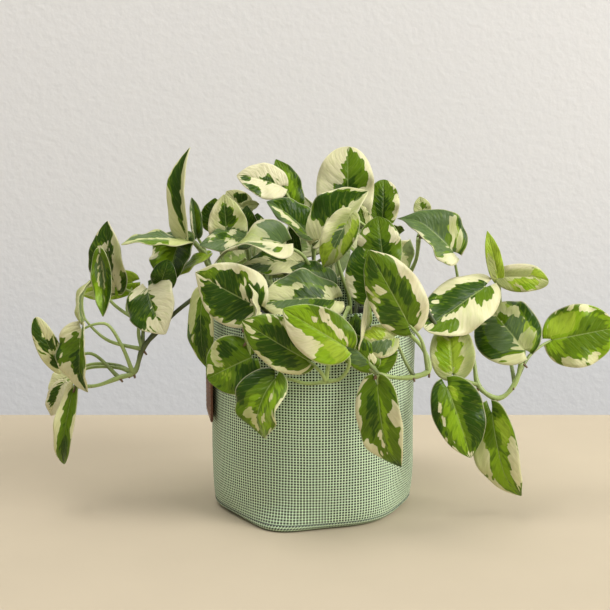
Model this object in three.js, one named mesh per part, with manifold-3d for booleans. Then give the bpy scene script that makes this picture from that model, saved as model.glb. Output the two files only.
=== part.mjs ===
// Potted njoy pothos in a woven fabric cover.
// Units are millimetres. +Z is up, +X is to the viewer's right, the front of the plant faces -Y.
// The origin lies on the resting surface, under the middle of the cover.
import * as THREE from 'three';
import { mergeVertices } from 'three/addons/utils/BufferGeometryUtils.js';
import Module from 'manifold-3d';

const wasm = await Module();
wasm.setup();

// Driving dimensions
const COVER_HEIGHT = 145;
const COVER_RADIUS = 70;
const COVER_FOOT_RADIUS = 69;
const COVER_WALL = 1.6;
const COVER_FLOOR = 1.8;
const COVER_SIDES = 32;
const PUCKER_COUNT = 7;
const PUCKER_DEPTH = 1.1;
const PUCKER_HEIGHT = 38;

const POT_RIM_RADIUS = 65;
const POT_RADIUS = 61.5;
const POT_FOOT_RADIUS = 47;
const POT_HEIGHT = 124;
const POT_LIP = 5;
const POT_WALL = 1.2;
const POT_SIDES = 24;
const DRAIN_COUNT = 6;
const DRAIN_RADIUS = 4;
const DRAIN_CIRCLE = 30;

const SOIL_TOP = 118;
const SOIL_RELIEF = 1.4;
const GAP = 0.3;

const LABEL_WIDTH = 38;
const LABEL_HEIGHT = 50;
const LABEL_THICKNESS = 1.6;
const LABEL_CORNER = 2;
const LABEL_BOTTOM = 63;
const LABEL_AZIMUTH = THREE.MathUtils.degToRad(188);

const BLADE_THICKNESS = 0.8;
const BLADE_GRID = { rows: 5, columns: 4 };
const NARROW_BLADE_GRID = { rows: 5, columns: 2 };
const NARROW_BLADE_WIDTH = 26;
const LOBE_SWEEP = 0.14;
const EDGE_DROP = 0.16;
const WAVE_HEIGHT = 0.09;
const WAVES_PER_EDGE = 2.2;
const WAVE_STEP = 1.7;
const WAVE_OFFSET = 1.3;
const ROW_BUNCHING = 0.08;
const NORMAL_INSET = 0.03;

const STEM_RADIUS = 1.9;
const STEM_SIDES = 6;
const PETIOLE_RADIUS = 1.25;
const PETIOLE_SIDES = 4;
const PETIOLE_END = 0.25;
const TUBE_STEP = 14;
const ROOT_DEPTH = 30;
const HOLE_CLEARANCE = 0.9;
const HOLE_SIDES = 6;

// Finishes
const MATERIALS = {
  fabric: new THREE.MeshStandardMaterial({ color: 0xb5cca0, roughness: 0.9, metalness: 0 }),
  plastic: new THREE.MeshStandardMaterial({ color: 0x22221f, roughness: 0.5, metalness: 0 }),
  soil: new THREE.MeshStandardMaterial({ color: 0x33241a, roughness: 1, metalness: 0 }),
  label: new THREE.MeshStandardMaterial({ color: 0x6b3e26, roughness: 0.6, metalness: 0 }),
  plant: new THREE.MeshStandardMaterial({ color: 0x5f8a2e, roughness: 0.4, metalness: 0 }),
};

// A row of the leaf tables: the stem node it grows from (an index into the stem's points), the
// point where the petiole meets the blade, the tip, the width, the turn of the face about the
// midrib (0 faces the front, 180 the back), the fold of each half and the arch of the midrib as
// a share of its length, then any points that the petiole passes on its way.
const leaf = (node, base, tip, width, turn, fold, arch, ...via) => (
  { node, base, tip, width, turn, fold, arch, via, twist: 0 }
);

// A leaf whose face turns further by some degrees on its way from base to tip.
const twisted = (twist, row) => ({ ...row, twist });

// Each vine has the place of its root in the soil, the points that its stem passes above the
// soil, and its leaves. The vines behind the pot have plainer blades.
const VINES = {
  vine_left_long: {
    root: [-36, -6],
    stem: [
      [-52, -9, 145], [-71, -12, 152], [-80, -16, 146], [-92, -20, 137], [-104, -22, 125],
      [-114, -24, 113], [-120, -26, 97], [-129, -26, 94], [-146, -26, 88], [-159, -27, 88],
    ],
    leaves: [
      leaf(4, [-127, 1, 156], [-137, -2, 197], 28, -35, 35, 0.08, [-120, -4, 146]),
      leaf(4, [-142, -17, 175], [-140, -22, 135], 19, 10, 45, -0.1, [-137, -8, 143], [-142, -11, 160]),
      leaf(4, [-137, 5, 146], [-140, 15, 177], 35, 0, 6, 0.06, [-126, -4, 135]),
      leaf(5, [-153, -24, 133], [-147, -16, 160], 20, -75, 30, 0.15, [-138, -23, 119]),
      leaf(5, [-111, -12, 152], [-97, -42, 127], 38, 15, 10, 0.1, [-117, -20, 124]),
      leaf(5, [-102, -12, 154], [-96, -20, 172], 18, 0, 10, 0.2, [-113, -14, 132]),
      leaf(7, [-172, -20, 97], [-186, -25, 135], 19, 0, 12, 0.06, [-150, -20, 109]),
      leaf(6, [-153, -28, 131], [-150, -33, 85], 37, 38, 38, 0.06, [-128, -28, 117], [-138, -28, 131]),
      leaf(9, [-161, -27, 87], [-169, -31, 35], 22, 15, 32, 0.07),
      leaf(6, [-169, -18, 87], [-179, -16, 64], 15, 10, 20, 0.1, [-131, -20, 99], [-154, -15, 97]),
      leaf(6, [-165, -8, 91], [-181, -5, 80], 16, 20, 10, 0.06, [-131, -18, 100], [-152, -11, 99]),
    ],
  },
  vine_left_upright: {
    root: [-40, 10],
    stem: [[-56, 7, 150], [-70, 5, 163], [-77, 3, 177], [-84, 1, 185]],
    leaves: [
      leaf(3, [-86, -4, 185], [-127, -22, 183], 26, 72, 12, 0.05),
      leaf(3, [-89, 6, 184], [-97, -14, 160], 36, 25, 25, 0.1),
      leaf(3, [-84, 0, 188], [-82, 6, 245], 30, -40, 40, 0.08),
      leaf(1, [-79, 6, 186], [-82, 8, 211], 14, 20, 45, 0.05, [-73, 7, 174]),
      leaf(2, [-71, -6, 174], [-92, -10, 161], 16, 60, 10, 0.05),
      leaf(0, [-65, 18, 188], [-67, 20, 209], 22, 0, 12, 0.06, [-62, 14, 168]),
    ],
  },
  vine_top_left: {
    root: [-28, 20],
    stem: [[-35, 17, 142], [-42, 14, 160], [-45, 10, 176]],
    leaves: [
      leaf(2, [-57, -12, 183], [-59, -16, 216], 27, 0, 12, 0.08, [-50, -4, 180]),
      leaf(1, [-45, 16, 200], [-59, 18, 214], 20, 0, 10, 0.05, [-44, 17, 180]),
      leaf(2, [-47, 6, 205], [-36, 4, 207], 8, 0, 20, 0.05, [-49, 8, 192]),
      leaf(2, [-44, 4, 182], [-45, 2, 206], 18, -20, 10, 0.1),
      leaf(2, [-44, -18, 187], [-75, -24, 183], 22, 40, 10, 0.08, [-46, -6, 182]),
      leaf(1, [-39, 22, 182], [-38, 24, 198], 14, 0, 10, 0.05, [-40, 18, 170]),
    ],
  },
  vine_top: {
    root: [-12, 16],
    stem: [[-10, 10, 150], [-9, 7, 168], [-10, 9, 190], [-12, 10, 203]],
    leaves: [
      leaf(3, [-15, 5, 211], [-51, 2, 227], 30, 20, 15, 0.08),
      leaf(3, [-12, 13, 207], [-28, 17, 236], 25, 25, 20, 0.08),
    ],
  },
  vine_heart: {
    root: [8, 2],
    stem: [[5, 1, 148], [1, 0, 166], [1, -2, 180]],
    leaves: [
      leaf(2, [4, -8, 184], [37, -4, 217], 42, -35, 35, 0.08),
      leaf(2, [-3, -5, 188], [-34, -8, 210], 28, 35, 32, 0.06),
      leaf(0, [-14, 0, 163], [-17, 2, 195], 11, 0, 12, 0.06, [-8, 1, 154]),
    ],
  },
  vine_centre: {
    root: [8, -16],
    stem: [[9, -20, 144], [6, -25, 158], [-2, -28, 170]],
    leaves: [
      twisted(70, leaf(2, [-16, -34, 187], [-67, -40, 174], 32, 42, 10, 0.16, [-8, -32, 179])),
      leaf(2, [-10, -24, 172], [-47, -30, 170], 24, 45, 10, 0.06),
      leaf(1, [12, -31, 158], [-19, -35, 167], 25, 30, 10, 0.08),
      leaf(0, [13, -47, 151], [-41, -60, 156], 36, 25, 20, 0.08, [12, -34, 151]),
    ],
  },
  vine_top_right: {
    root: [26, 12],
    stem: [[25, 10, 142], [20, 8, 157], [17, 8, 172], [24, 12, 188]],
    leaves: [
      leaf(3, [24, 18, 193], [24, 24, 244], 40, 0, 8, 0.08),
      leaf(3, [24, -28, 203], [7, -34, 170], 23, 0, 16, 0.06, [31, 2, 192], [35, -18, 195]),
    ],
  },
  vine_right_back: {
    root: [42, 12],
    stem: [[52, 14, 144], [64, 14, 154], [71, 14, 167], [73, 18, 182]],
    leaves: [
      leaf(3, [76, 26, 196], [74, 28, 209], 13, 0, 15, 0.05),
      leaf(0, [48, 20, 192], [49, 26, 221], 23, 0, 10, 0.08, [48, 17, 168]),
      leaf(1, [53, 10, 189], [63, 12, 187], 10, 50, 10, 0.05, [56, 12, 172]),
      leaf(0, [36, 6, 190], [31, 6, 208], 10, 0, 12, 0.05, [42, 10, 168]),
    ],
  },
  vine_front_left: {
    root: [-20, -26],
    stem: [[-32, -38, 143], [-41, -50, 153], [-46, -62, 150], [-44, -68, 138], [-42, -70, 128]],
    leaves: [
      leaf(2, [-37, -66, 151], [-76, -52, 167], 38, -8, 8, 0.08),
      leaf(3, [-37, -72, 142], [-39, -70, 166], 14, 78, 20, 0.05),
      leaf(1, [-38, -46, 154], [-37, -42, 169], 14, 0, 10, 0.05),
      leaf(1, [-73, -34, 151], [-68, -42, 101], 25, 25, 18, 0.08, [-58, -42, 156]),
      leaf(4, [-43, -70, 122], [-58, -71, 90], 38, 0, 8, 0.1),
    ],
  },
  vine_front: {
    root: [18, -32],
    stem: [
      [21, -46, 143], [23, -59, 148], [21, -71, 147], [16, -79, 137], [11, -81, 122],
      [8, -79, 104],
    ],
    leaves: [
      leaf(5, [-28, -82, 107], [-37, -80, 67], 41, 32, 25, 0.22, [-4, -80, 103], [-15, -81, 106]),
      leaf(5, [-4, -87, 120], [-45, -85, 145], 34, -5, 8, 0.08, [5, -83, 111]),
      leaf(5, [20, -88, 129], [-19, -96, 157], 34, 0, 8, 0.08, [17, -80, 106], [23, -84, 117]),
    ],
  },
  vine_front_right: {
    root: [30, -18],
    stem: [
      [40, -36, 145], [49, -50, 152], [56, -58, 143], [62, -62, 132], [69, -66, 125],
      [74, -68, 116], [74, -71, 109], [65, -74, 106], [54, -77, 106], [41, -80, 109],
    ],
    leaves: [
      leaf(6, [61, -72, 140], [34, -84, 190], 34, 0, 8, 0.06, [69, -72, 130]),
      leaf(7, [52, -70, 131], [29, -76, 128], 22, 0, 8, 0.1, [60, -73, 114]),
      leaf(9, [40, -76, 111], [44, -62, 131], 25, 0, 15, 0.1),
      leaf(9, [39, -80, 109], [57, -76, 47], 30, 22, 12, 0.1),
      leaf(1, [46, -48, 172], [42, -42, 205], 30, 0, 8, 0.06, [52, -50, 160]),
      leaf(1, [42, -50, 154], [35, -46, 190], 28, 0, 10, 0.06),
      leaf(9, [38, -78, 115], [17, -74, 134], 20, 0, 10, 0.05),
      leaf(9, [25, -72, 123], [25, -67, 147], 18, 0, 10, 0.05, [32, -76, 114]),
      leaf(9, [31, -75, 127], [34, -70, 159], 14, 60, 10, 0.06, [35, -77, 117]),
    ],
  },
  vine_right_long: {
    root: [38, -4],
    stem: [
      [50, -14, 145], [62, -25, 152], [74, -29, 143], [83, -30, 129], [97, -22, 118],
      [107, -23, 108], [111, -31, 89], [122, -32, 81], [128, -31, 82], [136, -28, 91],
      [140, -25, 104],
    ],
    leaves: [
      leaf(10, [140, -24, 112], [117, 6, 139], 45, 0, 8, 0.08),
      leaf(9, [160, -6, 115], [205, -2, 123], 44, 0, 8, 0.06, [147, -16, 107]),
      leaf(6, [93, -36, 97], [90, -28, 132], 31, 0, 10, 0.08, [104, -35, 93]),
      leaf(6, [94, -42, 95], [105, -46, 44], 36, 12, 12, 0.08, [103, -38, 93]),
      leaf(7, [121, -35, 75], [137, -38, 15], 32, 25, 12, 0.13),
      leaf(9, [118, -6, 150], [77, -34, 121], 40, -12, 12, 0.03, [134, 8, 112], [128, 6, 138]),
      leaf(9, [126, -1, 157], [118, -2, 189], 12, 0, 45, 0.06, [134, 9, 112], [128, 7, 138]),
      leaf(9, [128, -1, 157], [161, -2, 157], 20, 0, 12, 0.06, [134, 9, 112], [129, 7, 138]),
      leaf(4, [104, 12, 168], [57, 8, 199], 40, 30, 24, 0.06, [103, 6, 140]),
    ],
  },
  vine_back_left: {
    root: [-24, 32],
    plain: true,
    stem: [
      [-30, 46, 146], [-36, 60, 154], [-42, 73, 149], [-46, 83, 134], [-48, 88, 112],
      [-46, 92, 94],
    ],
    leaves: [
      leaf(0, [-26, 40, 168], [-44, 66, 182], 30, 180, 10, 0.08),
      leaf(1, [-46, 56, 162], [-58, 84, 154], 32, 175, 10, 0.08),
      leaf(2, [-40, 80, 150], [-43, 101, 114], 34, 180, 10, 0.08),
      leaf(3, [-52, 90, 124], [-56, 99, 82], 30, 180, 10, 0.08),
      leaf(4, [-28, 90, 116], [-22, 98, 74], 33, 180, 10, 0.08),
      leaf(5, [-43, 95, 88], [-40, 101, 48], 30, 180, 10, 0.08),
    ],
  },
  vine_back: {
    root: [4, 34],
    plain: true,
    stem: [[2, 48, 148], [0, 62, 155], [0, 75, 148], [2, 84, 130], [4, 89, 110]],
    leaves: [
      leaf(0, [0, 42, 170], [-8, 62, 198], 31, 180, 10, 0.08),
      leaf(1, [12, 60, 164], [22, 88, 166], 31, 180, 10, 0.08),
      leaf(2, [-10, 80, 148], [-13, 102, 114], 33, 180, 10, 0.08),
      leaf(3, [14, 86, 138], [20, 102, 102], 31, 180, 10, 0.08),
      leaf(4, [4, 94, 104], [2, 101, 62], 31, 180, 10, 0.08),
    ],
  },
  vine_back_right: {
    root: [30, 26],
    plain: true,
    stem: [[37, 40, 147], [44, 54, 154], [49, 67, 148], [52, 76, 130], [50, 82, 110]],
    leaves: [
      leaf(0, [34, 38, 170], [46, 62, 190], 31, 180, 10, 0.08),
      leaf(1, [52, 54, 164], [60, 80, 156], 30, 185, 10, 0.08),
      leaf(2, [45, 74, 146], [46, 96, 112], 33, 180, 10, 0.08),
      leaf(3, [54, 80, 124], [54, 92, 84], 28, 180, 10, 0.08),
      leaf(4, [36, 90, 108], [32, 98, 68], 31, 180, 10, 0.08),
    ],
  },
};

// Solid helpers
function positionsOnly(geometry) {
  const bare = geometry.clone();
  bare.deleteAttribute('normal');
  bare.deleteAttribute('uv');
  return mergeVertices(bare, 1e-3);
}

function dropCollapsed(geometry) {
  const index = Array.from(geometry.index.array);
  const kept = [];
  for (let i = 0; i < index.length; i += 3) {
    const [a, b, c] = index.slice(i, i + 3);
    if (a !== b && b !== c && c !== a) kept.push(a, b, c);
  }
  geometry.setIndex(kept);
  return geometry;
}

function toSolid(geometry) {
  const closed = dropCollapsed(positionsOnly(geometry));
  return new wasm.Manifold(new wasm.Mesh({
    numProp: 3,
    vertProperties: new Float32Array(closed.attributes.position.array),
    triVerts: new Uint32Array(closed.index.array),
  }));
}

function toGeometry(solid) {
  const mesh = solid.getMesh();
  const geometry = new THREE.BufferGeometry();
  geometry.setAttribute('position', new THREE.BufferAttribute(mesh.vertProperties, 3));
  geometry.setIndex(new THREE.BufferAttribute(mesh.triVerts, 1));
  return geometry;
}

// A closed lathe of (radius, height) pairs, turned to stand on +Z.
function turned(profile, sides) {
  const points = profile.map(([radius, height]) => new THREE.Vector2(radius, height));
  return new THREE.LatheGeometry(points, sides).rotateX(Math.PI / 2);
}

// The number of straight pieces that follow a curve.
function tubeSteps(curve) {
  return Math.max(2, Math.round(curve.getLength() / TUBE_STEP));
}

// A round tube with closed ends along a curve, whose far end narrows to a share of its radius.
function tube(curve, radius, sides, endShare = 1) {
  const section = new THREE.Shape();
  for (let i = 0; i < sides; i += 1) {
    const angle = (2 * Math.PI * i) / sides;
    const move = i === 0 ? 'moveTo' : 'lineTo';
    section[move](radius * Math.cos(angle), radius * Math.sin(angle));
  }
  section.closePath();
  const geometry = new THREE.ExtrudeGeometry(section, {
    extrudePath: curve, steps: tubeSteps(curve), bevelEnabled: false,
  });
  const end = curve.getPoint(1);
  const point = new THREE.Vector3();
  const position = geometry.attributes.position;
  for (let i = 0; i < position.count; i += 1) {
    point.fromBufferAttribute(position, i);
    if (point.distanceTo(end) > 1.01 * radius) continue;
    point.lerp(end, 1 - endShare);
    position.setXYZ(i, point.x, point.y, point.z);
  }
  return geometry;
}

// Fabric cover: a soft open cup whose foot puckers in shallow corners.
function makeCover() {
  const inner = COVER_RADIUS - COVER_WALL;
  const innerFoot = COVER_FOOT_RADIUS - COVER_WALL;
  const geometry = turned([
    [0, 0],
    [COVER_FOOT_RADIUS - 8, 0],
    [COVER_FOOT_RADIUS - 3, 1.2],
    [COVER_FOOT_RADIUS - 0.5, 5],
    [COVER_FOOT_RADIUS, 12],
    [COVER_FOOT_RADIUS + 0.3, PUCKER_HEIGHT],
    [COVER_RADIUS, COVER_HEIGHT - 1],
    [COVER_RADIUS - COVER_WALL / 2, COVER_HEIGHT],
    [inner, COVER_HEIGHT - 1],
    [innerFoot + 0.3, PUCKER_HEIGHT],
    [innerFoot, 12],
    [innerFoot - 1, 6],
    [COVER_FOOT_RADIUS - 9, COVER_FLOOR],
    [0, COVER_FLOOR],
  ], COVER_SIDES);
  const position = geometry.attributes.position;
  for (let i = 0; i < position.count; i += 1) {
    const x = position.getX(i);
    const y = position.getY(i);
    const fade = Math.max(0, 1 - position.getZ(i) / PUCKER_HEIGHT);
    const radius = Math.hypot(x, y);
    if (radius < COVER_FOOT_RADIUS / 2) continue;
    const wave = Math.cos(PUCKER_COUNT * Math.atan2(y, x) + 0.6);
    const scale = 1 + (PUCKER_DEPTH * fade * wave) / radius;
    position.setXY(i, x * scale, y * scale);
  }
  return geometry;
}

// Nursery pot: a thin tapered pot with a lip and drain holes.
function makeNurseryPot() {
  const foot = COVER_FLOOR + GAP;
  const top = foot + POT_HEIGHT;
  const geometry = turned([
    [0, foot],
    [POT_FOOT_RADIUS, foot],
    [POT_RADIUS, top - POT_LIP],
    [POT_RIM_RADIUS, top - POT_LIP],
    [POT_RIM_RADIUS, top],
    [POT_RADIUS - POT_WALL, top],
    [POT_FOOT_RADIUS - POT_WALL, foot + POT_WALL],
    [0, foot + POT_WALL],
  ], POT_SIDES);
  let pot = toSolid(geometry);
  for (let i = 0; i < DRAIN_COUNT; i += 1) {
    const angle = (2 * Math.PI * i) / DRAIN_COUNT;
    const drain = new THREE.CylinderGeometry(DRAIN_RADIUS, DRAIN_RADIUS, 4 * POT_WALL, HOLE_SIDES);
    drain.rotateX(Math.PI / 2);
    drain.translate(DRAIN_CIRCLE * Math.cos(angle), DRAIN_CIRCLE * Math.sin(angle), foot);
    pot = pot.subtract(toSolid(drain));
  }
  return toGeometry(pot);
}

// Potting mix: fills the nursery pot, with an uneven top and a plain hole for each stem.
function makeSoil() {
  const foot = COVER_FLOOR + POT_WALL + 2 * GAP;
  const slope = (POT_RADIUS - POT_FOOT_RADIUS) / (POT_HEIGHT - POT_LIP);
  const footRadius = POT_FOOT_RADIUS - POT_WALL - 2 * GAP;
  const topRadius = footRadius + slope * (SOIL_TOP - foot);
  const geometry = turned([
    [0, foot],
    [footRadius, foot],
    [topRadius, SOIL_TOP],
    [0.75 * topRadius, SOIL_TOP],
    [0.5 * topRadius, SOIL_TOP],
    [0.25 * topRadius, SOIL_TOP],
    [0, SOIL_TOP],
  ], POT_SIDES);
  const position = geometry.attributes.position;
  for (let i = 0; i < position.count; i += 1) {
    const [x, y, z] = [position.getX(i), position.getY(i), position.getZ(i)];
    if (z < SOIL_TOP - 1) continue;
    position.setZ(i, z + SOIL_RELIEF * Math.sin(x / 7 + 1) * Math.cos(y / 9));
  }
  let soil = toSolid(geometry);
  for (const { root: [x, y] } of Object.values(VINES)) {
    const radius = STEM_RADIUS + HOLE_CLEARANCE;
    const hole = new THREE.CylinderGeometry(radius, radius, 2 * ROOT_DEPTH, HOLE_SIDES);
    hole.rotateX(Math.PI / 2);
    hole.translate(x, y, SOIL_TOP + GAP);
    soil = soil.subtract(toSolid(hole));
  }
  return toGeometry(soil);
}

// Label: a stiff flat tag that stands against the left side of the cover.
function makeLabel() {
  const [w, h, r] = [LABEL_WIDTH / 2, LABEL_HEIGHT / 2, LABEL_CORNER];
  const outline = new THREE.Shape();
  outline.absarc(w - r, h - r, r, 0, Math.PI / 2);
  outline.absarc(-w + r, h - r, r, Math.PI / 2, Math.PI);
  outline.absarc(-w + r, -h + r, r, Math.PI, 1.5 * Math.PI);
  outline.absarc(w - r, -h + r, r, 1.5 * Math.PI, 2 * Math.PI);
  const geometry = new THREE.ExtrudeGeometry(outline, {
    depth: LABEL_THICKNESS, bevelEnabled: false, curveSegments: 2,
  });
  geometry.rotateX(Math.PI / 2);
  geometry.rotateZ(Math.PI / 2 + LABEL_AZIMUTH);
  const reach = COVER_RADIUS + GAP;
  geometry.translate(reach * Math.cos(LABEL_AZIMUTH), reach * Math.sin(LABEL_AZIMUTH), 0);
  return geometry.translate(0, 0, LABEL_BOTTOM + h);
}

// Half width of the heart-shaped blade as a share of its widest, from base (0) to tip (1).
function outline(v) {
  return 2.24 * v ** 0.42 * (1 - v) ** 0.85;
}

// The blade's local axes: along the midrib, out of the upper face, and across.
function bladeAxes({ base, tip, turn }) {
  const along = new THREE.Vector3(...tip).sub(new THREE.Vector3(...base));
  const length = along.length();
  along.normalize();
  const face = new THREE.Vector3(0, -0.98, 0.2).projectOnPlane(along).normalize();
  face.applyAxisAngle(along, THREE.MathUtils.degToRad(turn));
  const across = new THREE.Vector3().crossVectors(along, face);
  return { along, face, across, length };
}

// A point of the blade's middle surface: u runs across from -1 to 1, v from base to tip.
function bladePoint(row, axes, phase, u, v) {
  const { along, length } = axes;
  const spin = THREE.MathUtils.degToRad(row.twist * (v - 0.5));
  const face = axes.face.clone().applyAxisAngle(along, spin);
  const across = axes.across.clone().applyAxisAngle(along, spin);
  const half = (row.width / 2) * outline(v);
  const fold = THREE.MathUtils.degToRad(row.fold);
  const side = Math.abs(u) * half;
  const start = u > 0 ? phase + WAVE_OFFSET : phase;
  const wave = WAVE_HEIGHT * Math.sin(2 * Math.PI * WAVES_PER_EDGE * v + start);
  const lift = side * Math.sin(fold) + half * u * u * (wave - EDGE_DROP);
  const sweep = LOBE_SWEEP * length * u * u * (1 - v) ** 3;
  return new THREE.Vector3(...row.base)
    .addScaledVector(along, length * v - sweep)
    .addScaledVector(face, lift)
    .addScaledVector(axes.face, row.arch * length * 4 * v * (1 - v))
    .addScaledVector(across, Math.sign(u) * side * Math.cos(fold));
}

// One leaf blade: the grid of the middle surface, thickened to a closed solid whose two faces
// are split into triangles alike.
function makeBlade(row, phase, plain) {
  const axes = bladeAxes(row);
  const narrow = plain || row.width < NARROW_BLADE_WIDTH;
  const { rows, columns } = narrow ? NARROW_BLADE_GRID : BLADE_GRID;
  const grid = new THREE.PlaneGeometry(2, 1, columns, rows);
  const position = grid.attributes.position;
  const count = position.count;
  const points = [];
  const step = 0.01;
  const spots = Array.from({ length: count }, (_, i) => {
    const t = position.getY(i) + 0.5;
    return [position.getX(i), t - ROW_BUNCHING * Math.sin(2 * Math.PI * t)];
  });
  const skin = (side) => spots.forEach(([u, v]) => {
    const inside = THREE.MathUtils.clamp(v, NORMAL_INSET, 1 - NORMAL_INSET);
    const at = (du, dv) => bladePoint(row, axes, phase, u + du, inside + dv);
    const tangent = at(0, step).sub(at(0, -step));
    const lateral = at(step, 0).sub(at(-step, 0));
    const normal = v === inside ? lateral.cross(tangent).normalize() : axes.face;
    const point = bladePoint(row, axes, phase, u, v);
    points.push(point.addScaledVector(normal, side * BLADE_THICKNESS / 2));
  });
  skin(1);
  skin(-1);
  const upper = Array.from(grid.index.array);
  const triangles = [];
  const rim = new Map();
  for (let i = 0; i < upper.length; i += 3) {
    const [a, b, c] = upper.slice(i, i + 3);
    triangles.push(a, b, c, count + a, count + c, count + b);
    for (const [from, to] of [[a, b], [b, c], [c, a]]) {
      if (!rim.delete(`${to} ${from}`)) rim.set(`${from} ${to}`, [from, to]);
    }
  }
  for (const [from, to] of rim.values()) {
    triangles.push(from, count + from, to, to, count + from, count + to);
  }
  const geometry = new THREE.BufferGeometry().setFromPoints(points);
  geometry.setIndex(triangles);
  return geometry;
}

// The stem's curve: straight in the soil, then through its points.
function stemCurve({ root: [x, y], stem }) {
  const rooted = [SOIL_TOP - ROOT_DEPTH + 2, SOIL_TOP - 6, SOIL_TOP + 8].map((z) => [x, y, z]);
  return new THREE.CatmullRomCurve3([...rooted, ...stem].map((p) => new THREE.Vector3(...p)));
}

// The petiole's curve, from the stem's middle near its node into the first part of the midrib.
function petioleCurve(row, vine) {
  const main = stemCurve(vine);
  const node = new THREE.Vector3(...vine.stem[row.node]);
  const joints = main.getSpacedPoints(tubeSteps(main));
  const start = joints.reduce((best, p) => (p.distanceTo(node) < best.distanceTo(node) ? p : best));
  const into = bladePoint(row, bladeAxes(row), 0, 0, 0.1);
  const points = [...row.via, row.base].map((p) => new THREE.Vector3(...p));
  return new THREE.CatmullRomCurve3([start, ...points, into]);
}

// A leafy stem: its stem, petioles and blades joined in one body, without loose scraps.
function makeVine(vine, order) {
  const solids = [toSolid(tube(stemCurve(vine), STEM_RADIUS, STEM_SIDES))];
  vine.leaves.forEach((row, i) => {
    const petiole = petioleCurve(row, vine);
    solids.push(toSolid(tube(petiole, PETIOLE_RADIUS, PETIOLE_SIDES, PETIOLE_END)));
    solids.push(toSolid(makeBlade(row, WAVE_STEP * (i + order), vine.plain)));
  });
  const bodies = wasm.Manifold.union(solids).decompose();
  const largest = bodies.reduce((best, body) => (body.volume() > best.volume() ? body : best));
  return toGeometry(largest);
}

// The object
const object = new THREE.Group();

function add(name, geometry, material) {
  const mesh = new THREE.Mesh(geometry, material);
  mesh.name = name;
  object.add(mesh);
}

add('fabric_cover', makeCover(), MATERIALS.fabric);
add('nursery_pot', makeNurseryPot(), MATERIALS.plastic);
add('soil', makeSoil(), MATERIALS.soil);
add('label', makeLabel(), MATERIALS.label);
Object.entries(VINES).forEach(([name, vine], order) => {
  add(name, makeVine(vine, order), MATERIALS.plant);
});

export default object;
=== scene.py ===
"""Potted variegated pothos: the finished looks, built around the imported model."""

import logging
import math
import random
from collections.abc import Callable, Sequence
from dataclasses import dataclass
from enum import Enum
from typing import NamedTuple

import bmesh
import bpy
from mathutils import Matrix, Vector, noise


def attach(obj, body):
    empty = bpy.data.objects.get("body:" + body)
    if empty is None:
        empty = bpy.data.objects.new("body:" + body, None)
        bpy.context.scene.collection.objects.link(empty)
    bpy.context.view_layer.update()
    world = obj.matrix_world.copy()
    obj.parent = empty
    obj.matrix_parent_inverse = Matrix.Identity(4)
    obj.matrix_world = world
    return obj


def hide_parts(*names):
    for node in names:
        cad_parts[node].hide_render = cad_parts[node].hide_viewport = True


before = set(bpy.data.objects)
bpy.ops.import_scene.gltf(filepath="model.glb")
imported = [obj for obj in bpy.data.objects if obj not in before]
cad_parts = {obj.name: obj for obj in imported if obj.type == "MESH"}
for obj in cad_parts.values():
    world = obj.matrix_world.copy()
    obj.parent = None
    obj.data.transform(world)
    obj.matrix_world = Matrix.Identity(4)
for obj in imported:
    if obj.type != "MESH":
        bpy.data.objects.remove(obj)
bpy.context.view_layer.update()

log = logging.getLogger("pothos")

Point = tuple[float, float, float]
Colour = tuple[float, float, float]
Profile = Sequence[tuple[float, float]]
Mesh = bmesh.types.BMesh
Socket = bpy.types.NodeSocket
Feed = Socket | float | Colour

MM = 0.001
WELD = 1e-6
ROOT = "root"


# Leaf patterns

# A patch that is centred within this share of the midrib crosses it, and others stop at it.
MIDRIB_REACH = 0.3
MIDRIB_SLOPE = 0.8
# How far inside a patch its green or cream, and its tints, are whole.
PATCH_EDGE = 0.12
PATCH_SOFTNESS = 0.2


def smooth(share: float) -> float:
    """Returns a share from 0 to 1 eased at both ends."""
    share = max(0.0, min(1.0, share))
    return share * share * (3.0 - 2.0 * share)


class Tone(Enum):
    """Tones of the variegated blade: (green or cream, depth, greyness, yellowness). The greyness is
    partly the blade's own grey-green and partly painted sheen.
    """

    CREAM = (-1.0, 0.6, 0.0, 0.0)
    CELERY = (-1.0, 0.5, 0.6, 0.6)
    DARK = (1.0, 1.0, 0.0, 0.0)
    GREEN = (1.0, 0.7, 0.0, 0.0)
    BRIGHT = (1.0, 0.25, 0.0, 0.15)
    LIME = (1.0, 0.1, 0.0, 0.85)
    OLIVE = (1.0, 0.5, 0.35, 0.45)
    # SAGE's grey-green is partly the blade's own colour and partly painted sheen.
    SAGE = (1.0, 0.65, 1.0, 0.0)
    PALE = (-1.0, 0.5, 1.0, 0.9)

    def at(self, u: float, v: float, half_width: float, half_height: float) -> "Patch":
        """Returns an oval patch of this tone, u across and v along the blade."""
        return Patch(self, u, v, half_width, half_height)


@dataclass(frozen=True)
class Patch:
    """An oval patch of one tone on a blade."""

    tone: Tone
    u: float
    v: float
    half_width: float
    half_height: float

    def depth_inside(self, u: float, v: float) -> float:
        """Works out how far a point lies inside the oval.

        Args:
            u: Place across the blade, from -1 to 1.
            v: Place along the blade, from base to tip.

        Returns:
            The depth, which is negative outside the oval and past the midrib.
        """
        away = math.hypot((u - self.u) / self.half_width, (v - self.v) / self.half_height)
        inside = (1.0 - away) * min(self.half_width, 2 * self.half_height) / 2
        if abs(self.u) < MIDRIB_REACH:
            return inside
        return min(inside, math.copysign(u, u * self.u) * MIDRIB_SLOPE)


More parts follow.
